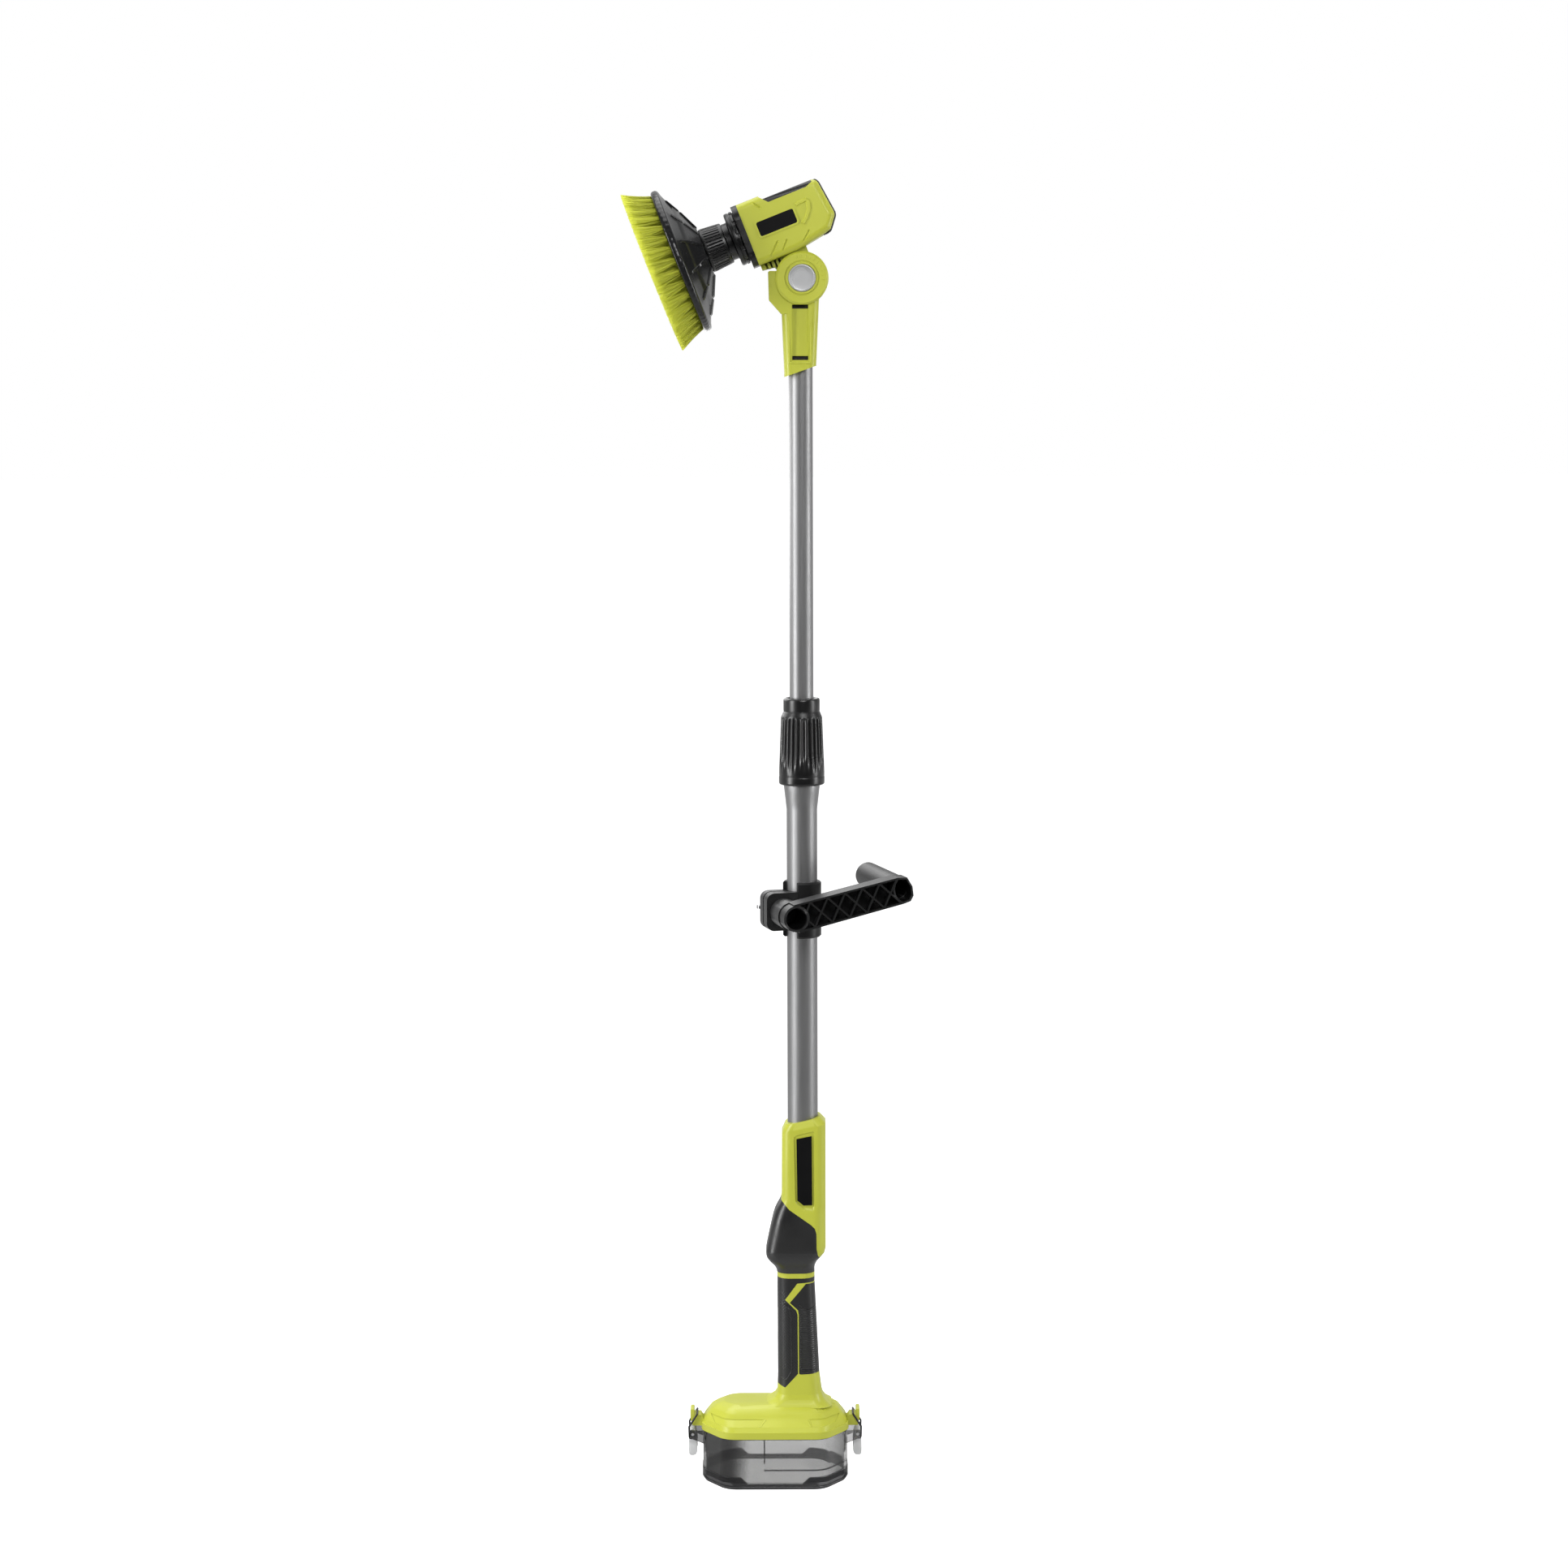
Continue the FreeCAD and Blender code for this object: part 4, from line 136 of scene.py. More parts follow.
def cut_all(obj, tools):
    """Cut several tools out of an object in one go."""
    return boolean(obj, merge("tools", tools))


def mirrored(obj):
    """Mirror an object's mesh to the other side in Y."""
    obj.data.transform(Matrix.Scale(-1, 4, Vector((0, 1, 0))))
    obj.data.flip_normals()
    return obj


def soften(obj, width, segments=2, angle=30.0):
    """Rounded edges and even normals."""
    weld = obj.modifiers.new("weld", "WELD")
    weld.merge_threshold = CAD_MERGE
    bevel = obj.modifiers.new("bevel", "BEVEL")
    bevel.width = width * MM
    bevel.segments = segments
    bevel.limit_method = "ANGLE"
    bevel.angle_limit = math.radians(angle)
    bevel.harden_normals = False
    normal = obj.modifiers.new("normal", "WEIGHTED_NORMAL")
    normal.weight = 50
    normal.keep_sharp = False
    return obj


def eased(obj, width, segments, angle):
    """Rounded edges made part of the mesh itself."""
    return apply_modifiers(soften(obj, width, segments, angle))


def piece(obj, body, material, slot, *replaced):
    """Finish a new piece: its material, its body and the CAD nodes it stands for. The slot is not used."""
    obj.data.materials.clear()
    obj.data.materials.append(material)
    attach(obj, body)
    if replaced:
        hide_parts(*replaced)
    return obj


def ring_faces(steps, count, back=False):
    """Faces round a full turn of profiles with so many points each."""
    faces = []
    for i in range(steps):
        a = i * count
        b = (i + 1) % steps * count
        for j in range(count - 1):
            if back:
                faces.append((a + j, b + j, b + j + 1, a + j + 1))
            else:
                faces.append((a + j, a + j + 1, b + j + 1, b + j))
    return faces


def tube_faces(count, around, closed=False):
    """Faces along a tube of rings with so many points each, joined into a loop if closed."""
    faces = []
    for i in range(count if closed else count - 1):
        a = i * around
        b = (i + 1) % count * around
        for k in range(around):
            m = (k + 1) % around
            faces.append((a + k, a + m, b + m, b + k))
    return faces


def strip_faces(count):
    """Faces of a strip whose section has four points, with both ends closed."""
    last = (count - 1) * 4
    return tube_faces(count, 4) + [(0, 1, 2, 3), (last + 3, last + 2, last + 1, last)]


def turned(name, rows, steps, matrix, middle=0.0, depth=0.0, wave=lambda i, angle: 0.0):
    """Object turned about local X from rows of (x, radius, share); a wave cuts in by a share of the depth."""
    points = []
    for i in range(steps):
        angle = 2 * math.pi * i / steps
        cut = wave(i, angle)
        for x, r, share in rows:
            here = r - depth * share * cut
            points.append((x, here * math.sin(angle), middle + here * math.cos(angle)))
    return from_lists(name, points, ring_faces(steps, len(rows)), matrix)


def prism(name, outline, low, high, matrix=None):
    """Closed prism of an outline in XZ, from one Y to another."""
    count = len(outline)
    points = [(a, level, b) for level in (low, high) for a, b in outline]
    faces = [tuple(range(count)), tuple(range(2 * count - 1, count - 1, -1))]
    for i in range(count):
        j = (i + 1) % count
        faces.append((count + i, count + j, j, i))
    return tidy_normals(from_lists(name, points, faces, matrix))


def new_material(name, colour, roughness, **extra):
    """Principled material and its node tree."""
    material = bpy.data.materials.new(name)
    material.use_nodes = True
    shader = material.node_tree.nodes["Principled BSDF"]
    shader.inputs["Base Color"].default_value = (*colour, 1)
    shader.inputs["Roughness"].default_value = roughness
    for key, value in extra.items():
        shader.inputs[key.replace("_", " ")].default_value = value
    return material, material.node_tree, shader


def plug(tree, value, socket):
    """Link a value that comes from another node, or set a plain one."""
    if isinstance(value, bpy.types.NodeSocket):
        tree.links.new(value, socket)
    else:
        socket.default_value = value


def math_node(tree, operation, first, second=0.0):
    """Result of a sum or a test on two values."""
    node = tree.nodes.new("ShaderNodeMath")
    node.operation = operation
    plug(tree, first, node.inputs[0])
    plug(tree, second, node.inputs[1])
    return node.outputs["Value"]


def ramp(tree, source, from_low, from_high, to_low, to_high, soft=False):
    """Value carried over from one range to another, with soft ends if wanted."""
    node = tree.nodes.new("ShaderNodeMapRange")
    if soft:
        node.interpolation_type = "SMOOTHSTEP"
    ends = {"From Min": from_low, "From Max": from_high, "To Min": to_low, "To Max": to_high, "Value": source}
    for name, value in ends.items():
        plug(tree, value, node.inputs[name])
    return node.outputs["Result"]


def blend(tree, factor, first, second, kind="RGBA"):
    """Colour between two colours, or number between two numbers with the kind FLOAT."""
    node = tree.nodes.new("ShaderNodeMix")
    node.data_type = kind
    for name, value in (("Factor", factor), ("A", first), ("B", second)):
        plug(tree, value, node.inputs[name])
    return node.outputs["Result"]


def grey_level(tree, value):
    """Grey colour of a value."""
    node = tree.nodes.new("ShaderNodeCombineColor")
    for channel in ("Red", "Green", "Blue"):
        tree.links.new(value, node.inputs[channel])
    return node.outputs["Color"]


def axes(tree, space="Object"):
    """X, Y and Z of the place that is shaded."""
    parts = tree.nodes.new("ShaderNodeSeparateXYZ")
    tree.links.new(tree.nodes.new("ShaderNodeTexCoord").outputs[space], parts.inputs["Vector"])
    return [parts.outputs[axis] for axis in "XYZ"]


def noise(tree, scale, detail=2.0, rough=0.5, stretch=None):
    """Value of a noise in object coordinates, stretched if wanted."""
    texture = tree.nodes.new("ShaderNodeTexNoise")
    for name, value in (("Scale", scale), ("Detail", detail), ("Roughness", rough)):
        texture.inputs[name].default_value = value
    source = tree.nodes.new("ShaderNodeTexCoord").outputs["Object"]
    if stretch:
        mapping = tree.nodes.new("ShaderNodeMapping")
        mapping.inputs["Scale"].default_value = stretch
        tree.links.new(source, mapping.inputs["Vector"])
        source = mapping.outputs["Vector"]
    tree.links.new(source, texture.inputs["Vector"])
    return texture.outputs["Fac"]


def spread(tree, source, low, high, target):
    """Maps the middle of a noise to a range and links it."""
    tree.links.new(ramp(tree, source, 0.3, 0.7, low, high), target)


def bump(tree, shader, source, strength, distance):
    """Bump from a height source. The distance is in metres."""
    node = tree.nodes.new("ShaderNodeBump")
    node.inputs["Strength"].default_value = strength
    node.inputs["Distance"].default_value = distance
    tree.links.new(source, node.inputs["Height"])
    tree.links.new(node.outputs["Normal"], shader.inputs["Normal"])


def tint(tree, shader, source, colour_a, colour_b):
    """Colour that drifts between two shades."""
    tree.links.new(blend(tree, source, (*colour_a, 1), (*colour_b, 1)), shader.inputs["Base Color"])


GRAIN_DEPTH = 0.00012


def moulded(name, colour, roughness, grain, coat=0.0, specular=0.5, metallic=0.0):
    """Moulded plastic: fine spark grain, drifting roughness and a hair of colour drift."""
    material, tree, shader = new_material(name, colour, roughness, Coat_Weight=coat, Coat_Roughness=0.12,
                                          Specular_IOR_Level=specular, Metallic=metallic)
    wide = noise(tree, 45.0, 3.0)
    spread(tree, wide, roughness - 0.06, roughness + 0.06, shader.inputs["Roughness"])
    tint(tree, shader, wide, [c * 0.97 for c in colour], [min(1.0, c * 1.03) for c in colour])
    bump(tree, shader, noise(tree, 2600.0, 2.0, 0.6), grain, GRAIN_DEPTH)
    return material


lime = moulded("lime_plastic", (0.520, 0.550, 0.052), 0.38, 0.10, 0.06)
soft_grey = moulded("soft_grey", (0.0040, 0.0042, 0.0044), 0.38, 0.22, specular=0.90)
black = moulded("black_plastic", (0.0040, 0.0042, 0.0045), 0.34, 0.20, specular=0.70)
satin_black = moulded("satin_black", (0.0040, 0.0042, 0.0044), 0.32, 0.12, specular=0.70)
gloss_black = moulded("gloss_black", (0.0125, 0.0128, 0.0135), 0.24, 0.04, 0.15, specular=0.42)
badge = moulded("badge_face", (0.0035, 0.0035, 0.0038), 0.50, 0.05, specular=0.15)
seal = moulded("seal", (0.015, 0.015, 0.015), 0.60, 0.2)
silver = moulded("silver", (0.54, 0.545, 0.55), 0.38, 0.25, metallic=0.55)


def brushed(name, colour, roughness, stretch=None, grain=0.25):
    """Metal with fine drawn lines along one way."""
    material, tree, shader = new_material(name, colour, roughness, Metallic=1.0)
    lines = noise(tree, 900.0, 3.0, 0.6, stretch)
    spread(tree, lines, roughness - 0.05, roughness + 0.06, shader.inputs["Roughness"])
    bump(tree, shader, lines, grain, 0.00003)
    return material


aluminium = brushed("aluminium", (0.330, 0.330, 0.334), 0.48, (1.0, 1.0, 0.02))
steel = brushed("steel", (0.55, 0.55, 0.56), 0.28)
wire = brushed("black_wire", (0.06, 0.06, 0.065), 0.35, grain=0.1)
contact = brushed("contact", (0.65, 0.48, 0.22), 0.28)


def clear(name, colour, roughness, weight):
    """Clear moulded plastic, part see-through."""
    material, tree, shader = new_material(name, colour, roughness, Transmission_Weight=weight, IOR=1.45)
    spread(tree, noise(tree, 30.0), roughness - 0.02, roughness + 0.03, shader.inputs["Roughness"])
    return material


def smoky_material():
    """Smoky clear plastic of the bin: a darker raised band round the foot, a thin moulded line inside,
    painted shade at both ends and a painted lift on its floor plate.
    """
    material, tree, shader = new_material("smoky_clear", (0.55, 0.55, 0.56), 0.05, IOR=1.30)
    x, y, z = axes(tree)

    # Short names for the sums and tests below
    def both(first, second):
        return math_node(tree, "MULTIPLY", first, second)

    def either(first, second):
        return math_node(tree, "MAXIMUM", first, second)

    def under(value, limit):
        return math_node(tree, "LESS_THAN", value, limit)

    def over(value, limit):
        return math_node(tree, "GREATER_THAN", value, limit)

    def distance(value, middle):
        return math_node(tree, "ABSOLUTE", math_node(tree, "SUBTRACT", value, middle))

    # The foot band is higher towards both ends, and the bin's bottom isn't part of it
    band = under(z, ramp(tree, distance(x, BASE_X * MM), 0.0283, 0.0355, 0.0069, 0.0132))
    bottom = either(under(distance(z, 0.0030), 0.0002), under(z, 0.0001))
    band = both(band, math_node(tree, "SUBTRACT", 1.0, bottom))
    # The moulded line goes down the near wall and then along it
    upright = both(under(distance(x, -0.0404), 0.0006), over(z, 0.028))
    along = both(under(distance(z, 0.0205), 0.0005), over(x, -0.0410))
    dark = either(band, both(either(upright, along), under(y, 0.0)))
    # Painted shade: the plastic is coloured darker towards its ends, most of all at the left one, standing in
    # for dark reflections
    left = ramp(tree, x, -0.079, -0.054, 0.16, 0.55, True)
    right = ramp(tree, x, 0.020, 0.048, 1.0, 0.62, True)
    shade = both(left, right)
    # Painted light: below 3.4 mm the floor plate is coloured 1.3 times lighter, so the floor seen through it
    # looks brighter
    shade = either(shade, both(under(z, 0.0034), both(1.3, shade)))
    colour = blend(tree, dark, grey_level(tree, shade), (0.040, 0.040, 0.042, 1))
    tree.links.new(colour, shader.inputs["Base Color"])
    tree.links.new(ramp(tree, dark, 0.0, 1.0, 0.95, 0.80), shader.inputs["Transmission Weight"])
    return material


smoky = smoky_material()
lever_clear = clear("clear_lever", (0.86, 0.865, 0.87), 0.22, 0.35)

# The camera, fitted to the photograph. The focal length is in pixels of the square picture.
PICTURE = 1932
FOCAL = 4168.7
LOOKS_DOWN = 7.15
ROLL = -0.2
camera_data = bpy.data.cameras.new("camera")
camera_data.sensor_width = 36.0
camera_data.lens = FOCAL / PICTURE * camera_data.sensor_width
camera_data.clip_end = 60.0
camera = bpy.data.objects.new("camera", camera_data)
camera.location = (-0.018, -3.4, 1.150)
turn = Matrix.Rotation(math.radians(90.0 - LOOKS_DOWN), 3, "X") @ Matrix.Rotation(math.radians(ROLL), 3, "Z")
camera.rotation_euler = turn.to_euler()
scene.collection.objects.link(camera)
scene.camera = camera
scene.view_settings.view_transform = "Standard"

# Soft rectangular lamps: name, place, the point they look at, width, height and power
LAMPS = (
    ("key_left", (-2.15, -1.05, 1.05), (0.0, 0.0, 0.62), 0.60, 2.2, 46.0),
    ("fill_right", (2.4, -0.55, 1.0), (0.0, 0.0, 0.60), 0.40, 2.2, 27.0),
    ("top", (-0.2, 0.30, 2.7), (0.0, 0.0, 0.4), 1.8, 1.6, 20.0),
    ("front", (0.45, -2.3, 2.2), (0.0, 0.0, 0.8), 1.2, 0.9, 23.0),
    ("low_top", (-0.30, 0.45, 1.00), (-0.03, 0.0, 0.08), 0.8, 0.5, 3.6))
for name, location, aim, size_x, size_y, power in LAMPS:
    data = bpy.data.lights.new(name, "AREA")
    data.shape = "RECTANGLE"
    data.size = size_x
    data.size_y = size_y
    data.energy = power
    lamp = bpy.data.objects.new(name, data)
    lamp.location = location
    lamp.rotation_euler = (Vector(aim) - Vector(location)).to_track_quat("-Z", "Y").to_euler()
    scene.collection.objects.link(lamp)


def backdrop(tree, lit, seen, mirror_front, mirror_back, space, from_y, to_y, target):
    """Strength of a pale ground: as it lights things, as it is seen, and as mirrors see it."""
    paths = tree.nodes.new("ShaderNodeLightPath").outputs
    mirror = ramp(tree, axes(tree, space)[1], from_y, to_y, mirror_front, mirror_back)
    direct = math_node(tree, "MAXIMUM", paths["Is Camera Ray"], paths["Is Transmission Ray"])
    indirect = blend(tree, paths["Is Glossy Ray"], lit, mirror, "FLOAT")
    tree.links.new(blend(tree, direct, indirect, seen, "FLOAT"), target)


# The world round everything
world = bpy.data.worlds.new("world")
scene.world = world
world.use_nodes = True
tree = world.node_tree
tree.nodes.clear()
output = tree.nodes.new("ShaderNodeOutputWorld")
background = tree.nodes.new("ShaderNodeBackground")
background.inputs["Color"].default_value = (1.0, 1.0, 1.0, 1.0)
backdrop(tree, 0.36, 1.0, 0.06, 0.70, "Generated", 0.1, 0.95, background.inputs["Strength"])
tree.links.new(background.outputs["Background"], output.inputs["Surface"])

# The floor: its own grey fades out towards the camera, and a glow makes it look as white as the world
FLOOR_REACH = 30
corners = [(x * FLOOR_REACH, y * FLOOR_REACH, 0) for x, y in ((-1, -1), (1, -1), (1, 1), (-1, 1))]
floor_mesh = bpy.data.meshes.new("floor")
floor_mesh.from_pydata(corners, [], [(0, 1, 2, 3)])
floor = place("floor", floor_mesh)
floor.location.z = -0.0002
floor_material = bpy.data.materials.new("floor")
floor_material.use_nodes = True
tree = floor_material.node_tree
tree.nodes.clear()
output = tree.nodes.new("ShaderNodeOutputMaterial")
diffuse = tree.nodes.new("ShaderNodeBsdfDiffuse")
fade = ramp(tree, axes(tree)[1], -1.8, -0.5, 0.06, 0.50)
tree.links.new(grey_level(tree, fade), diffuse.inputs["Color"])
glow = tree.nodes.new("ShaderNodeEmission")
backdrop(tree, 0.0, 0.985, 0.0, 0.50, "Object", 0.3, 2.5, glow.inputs["Strength"])
add = tree.nodes.new("ShaderNodeAddShader")
tree.links.new(diffuse.outputs["BSDF"], add.inputs[0])
tree.links.new(glow.outputs["Emission"], add.inputs[1])
tree.links.new(add.outputs["Shader"], output.inputs["Surface"])
floor.data.materials.append(floor_material)

# The brush. Each row of tufts: radius of its ring, number of tufts, strands in a tuft and lean at the tips.
TUFT_ROWS = (
    (69.6, 36, 84, 11.9), (60.6, 32, 44, 10), (51.5, 27, 36, 8.2), (42, 22, 30, 6.2), (32, 17, 28, 4.6),
    (21.5, 11, 28, 3), (10.5, 6, 28, 1.4))
TUFT_ROOT_U = -108.4
TUFT_TIP_U = -136.9
TUFT_REACH = 82.6
STRAND_RADIUS = 0.27


def strand(points, faces, shades, foot, tip, bow, out, side, wide, light):
    """One bristle: a bowed three-sided rod, thinner at its tip."""
    first = len(points)
    steps = 5
    for k in range(steps):
        t = k / (steps - 1)
        spot = foot.lerp(tip, t) + bow * (4 * t * (1 - t))
        thin = wide * (1 - 0.3 * t)
        for m in range(3):
            b = 2 * math.pi * m / 3 + light * 20
            points.append(spot + out * (thin * math.cos(b)) + side * (thin * math.sin(b)))
            shades.append((t, light))
    tip_face = (steps * 3 - 3, steps * 3 - 2, steps * 3 - 1)
    faces += [tuple(first + n for n in face) for face in tube_faces(steps, 3) + [tip_face]]


def make_tufts():
    """Rows of bristle tufts that flare into one mass at the tips, cut off square."""
    rand = random.Random(7)
    points = []
    faces = []
    shades = []
    for row, (ring, count, strands, lean) in enumerate(TUFT_ROWS):
        root_r = 3.3 if row == 0 else 2.9
        for i in range(count):
            turn = 2 * math.pi * (i + 0.5 * (row % 2)) / count
            out = Vector((0, math.cos(turn), math.sin(turn)))
            side = Vector((0, -math.sin(turn), math.cos(turn)))
            centre = Vector((TUFT_ROOT_U, 0, DRIVE_W)) + out * (ring - 2.4)
            lean_here = lean + rand.uniform(-0.5, 0.5)
            skew = rand.uniform(-0.8, 0.8)
            for _ in range(strands):
                a = rand.uniform(0, 2 * math.pi)
                r = root_r * math.sqrt(rand.random())
                across = r * math.sin(a)
                deep = r * math.cos(a)
                foot = centre + out * (deep * 0.8) + side * across
                flare = 2.55 + rand.uniform(-0.3, 0.3)
                tip = centre + out * (lean_here + deep * 1.15) + side * (across * flare + skew)
                tip.x = TUFT_TIP_U + rand.uniform(0, 0.9)
                away = Vector((0, tip.y, tip.z - DRIVE_W))
                if away.length > TUFT_REACH:
                    away = away * (TUFT_REACH / away.length)
                    tip.y = away.y
                    tip.z = DRIVE_W + away.z
                bow = out * (-lean * 0.06) + side * rand.uniform(-0.3, 0.3)
                strand(points, faces, shades, foot, tip, bow, out, side, STRAND_RADIUS, rand.random())
    obj = from_lists("brush_tufts", points, faces, HEAD)
    layer = obj.data.color_attributes.new("shade", "FLOAT_COLOR", "POINT")
    for value, (t, light) in zip(layer.data, shades):
        value.color = (t, light, 0.0, 1.0)
    return obj


def bristle_material():
    """Nylon bristle: painted shade darker towards the roots, where the tufts shade each other, paler tips,
    and each strand a little different.
    """
    material, tree, shader = new_material("bristle", (0.66, 0.70, 0.08), 0.42, Specular_IOR_Level=0.3)
    layer = tree.nodes.new("ShaderNodeVertexColor")
    layer.layer_name = "shade"
    parts = tree.nodes.new("ShaderNodeSeparateColor")
    tree.links.new(layer.outputs["Color"], parts.inputs["Color"])
    # Painted shade: each strand is coloured darker towards its root, where the tufts shade each other
    length = blend(tree, parts.outputs["Red"], (0.46, 0.50, 0.040, 1), (0.86, 0.90, 0.110, 1))
    share = ramp(tree, parts.outputs["Green"], 0.3, 0.7, 0.0, 0.5)
    tree.links.new(blend(tree, share, length, (0.74, 0.78, 0.07, 1)), shader.inputs["Base Color"])
    return material


piece(make_tufts(), "brush", bristle_material(), "bristle", "bristles")

BACK_PROFILE = (
    (-109, 5.1), (-109, 71.6), (-108.2, 73), (-106.6, 73.7), (-104, 73.7), (-102.6, 73), (-101.6, 71.9),
    (-100.9, 70.2), (-100.2, 67.5), (-94.6, 55.2), (-93.4, 54), (-91.6, 51), (-90.2, 48.7), (-85.6, 38.4),
    (-81.6, 29.3), (-80.3, 27.4), (-79.4, 26.2), (-79.1, 24), (-79.1, 5.1), (-109, 5.1))
RIM_ROWS = range(3, 6)
CONE_ROWS = range(9, 16)
FACETS = 12
RIM_NOTCHES = 72


def make_brush_back():
    """Brush back: thick rounded rim with fine notches, a crest line, and a cone of wide flat facets."""
    points = []
    steps = 288
    half = math.pi / FACETS
    for i in range(steps):
        angle = 2 * math.pi * i / steps
        local = (angle + half) % (2 * math.pi / FACETS) - half
        flat = math.cos(half) / math.cos(local)
        for j, (u, r) in enumerate(BACK_PROFILE):
            here = r
            if j in CONE_ROWS:
                here = r * (flat * 1.018)
            if j in RIM_ROWS:
                here = r - 0.3 * max(0.0, math.cos(angle * RIM_NOTCHES)) ** 6
            points.append((u, here * math.sin(angle), DRIVE_W + here * math.cos(angle)))
    return from_lists("brush_back", points, ring_faces(steps, len(BACK_PROFILE)), HEAD)


def gusset(name, angle, low, high, half, rise):
    """Flat-topped gusset that lies on the cone of the brush back between two radii."""
    def cone_u(r):
        """Level of the cone at a radius."""
        rows = ((26.8, -80.3), (48.7, -90.2), (54.0, -93.4), (67.5, -100.2), (72.0, -101.6))
        for (r0, u0), (r1, u1) in zip(rows, rows[1:]):
            if r <= r1:
                return u0 + (u1 - u0) * (r - r0) / (r1 - r0)
        return rows[-1][1]

    points = []
    for r, lift in ((low, 0.0), (low + 1.0, rise), (high - 1.6, rise), (high, 0.0)):
        for y in (-half, half):
            for depth in (lift, -2.0):
                points.append((cone_u(r) + depth, y, r))
    faces = []
    for k in range(3):
        a = k * 4
        faces += [(a, a + 2, a + 6, a + 4), (a + 2, a + 3, a + 7, a + 6), (a + 3, a + 1, a + 5, a + 7),
                  (a + 1, a, a + 4, a + 5)]
    faces += [(0, 1, 3, 2), (12, 14, 15, 13)]
    turn = Matrix.Translation(Vector((0, 0, DRIVE_W)) * MM) @ Matrix.Rotation(angle, 4, "X")
    return from_lists(name, points, faces, HEAD @ turn)


back_parts = [make_brush_back()]
for i in range(FACETS):
    turn = 2 * math.pi * (i + 0.5) / FACETS
    back_parts.append(gusset("gusset", turn, 25.0, 47.0, 1.5, 1.5))
    back_parts.append(gusset("gusset", turn, 47.5, 63.0, 1.5, 1.2))
brush_back = merge("brush_back", back_parts)
soften(brush_back, 0.35, 2, 28.0)
piece(brush_back, "brush", gloss_black, "gloss_black", "brush_disc")

LOCK_RIBS = 40
LOCK_ROWS = (
    (-79, 5.2, 0), (-79, 21, 0), (-78.3, 22, 0), (-76.6, 22.2, 0), (-75.6, 22.15, 0.9), (-74.8, 22.1, 1),
    (-69, 21.6, 1), (-63, 21.1, 1), (-60.2, 20.85, 0.9), (-59.2, 20.8, 0), (-57.2, 20.6, 0),
    (-56.3, 20.1, 0), (-56, 19.2, 0), (-56, 5.2, 0), (-79, 5.2, 0))


def lock_wave(i, angle):
    """Fine round-bottomed grooves of the collar that locks the brush."""
    return max(0.0, math.cos(angle * LOCK_RIBS)) ** 1.6


lock_collar = turned("lock_collar", LOCK_ROWS, LOCK_RIBS * 8, HEAD, DRIVE_W, 1.25, lock_wave)
soften(lock_collar, 0.12, 1, 40.0)
piece(lock_collar, "brush", satin_black, "black_plastic", "brush_collar")


# The head
def bar_between(start, end, half, top, base, flat=0.5):
    """Raised or sunk bar on the near face: a ridge of a given half width from one place to another, in XZ."""
    ax, az = start
    bx, bz = end
    length = math.hypot(bx - ax, bz - az)
    tx, tz = (bx - ax) / length, (bz - az) / length
    nx, nz = -tz, tx
    points = []
    for x, z in ((ax, az), (bx, bz)):
        for across, level in ((-half, base), (-half * flat, top), (half * flat, top), (half, base)):
            points.append((x + nx * across, level, z + nz * across))
    ends = []
    for (x, z), way in (((ax, az), -1), ((bx, bz), 1)):
        ends.append((x + tx * half * way, base, z + tz * half * way))
    points += ends
    faces = [(0, 1, 5, 4), (1, 2, 6, 5), (2, 3, 7, 6), (3, 0, 4, 7), (0, 8, 1), (1, 8, 2), (2, 8, 3),
             (0, 3, 8), (4, 5, 9), (5, 6, 9), (6, 7, 9), (7, 4, 9)]
    return tidy_normals(from_lists("bar", points, faces))


def ridge_strip(name, path, half, top, base, shoulder=0.55):
    """Bevelled ridge along an open path in XZ, with mitred corners, on a plane of constant Y."""
    points = []
    count = len(path)
    for i, (x, z) in enumerate(path):
        before = path[max(0, i - 1)]
        after = path[min(count - 1, i + 1)]
        tx, tz = after[0] - before[0], after[1] - before[1]
        size = math.hypot(tx, tz)
        tx, tz = tx / size, tz / size
        if 0 < i < count - 1:
            ax, az = x - before[0], z - before[1]
            size = math.hypot(ax, az)
            stretch = 1 / max(0.5, (ax * tx + az * tz) / size)
        else:
            stretch = 1.0
        nx, nz = -tz * stretch, tx * stretch
        for across, level in ((-half, base), (-half * shoulder, top), (half * shoulder, top), (half, base)):
            points.append((x + nx * across, level, z + nz * across))
    return tidy_normals(from_lists(name, points, strip_faces(count)))


def box_tool(low, high, matrix=None):
    """Closed box between two corners."""
    (x0, y0, z0), (x1, y1, z1) = low, high
    points = [(x, y, z) for x in (x0, x1) for y in (y0, y1) for z in (z0, z1)]
    faces = [(0, 1, 3, 2), (4, 6, 7, 5), (0, 4, 5, 1), (2, 3, 7, 6), (0, 2, 6, 4), (1, 5, 7, 3)]
    return tidy_normals(from_lists("box", points, faces, matrix))


def on_head(obj, side):
    """Put a thing drawn on the head's near side in its place, mirrored for the far side."""
    if side > 0:
        mirrored(obj)
    obj.data.transform(HEAD)
    return obj


# Each groove: where it starts and ends, its half width and its depth
HEAD_FACE = -27.0
GROOVES = (((-22.4, 29.4), (-9.2, 41.8), 1.5, 1.1), ((-7.2, 32.2), (-0.2, 40), 1.4, 1.1),
           ((14.9, 33), (23.4, 40.1), 1.5, 1.1), ((-20, 88.6), (-13.6, 79.2), 1.6, 1.2))
BRACKET = ((20.4, 68.2), (24.4, 69.2), (31.4, 69.4), (32.6, 67), (31, 59.6), (25.2, 52.4), (20.4, 49))


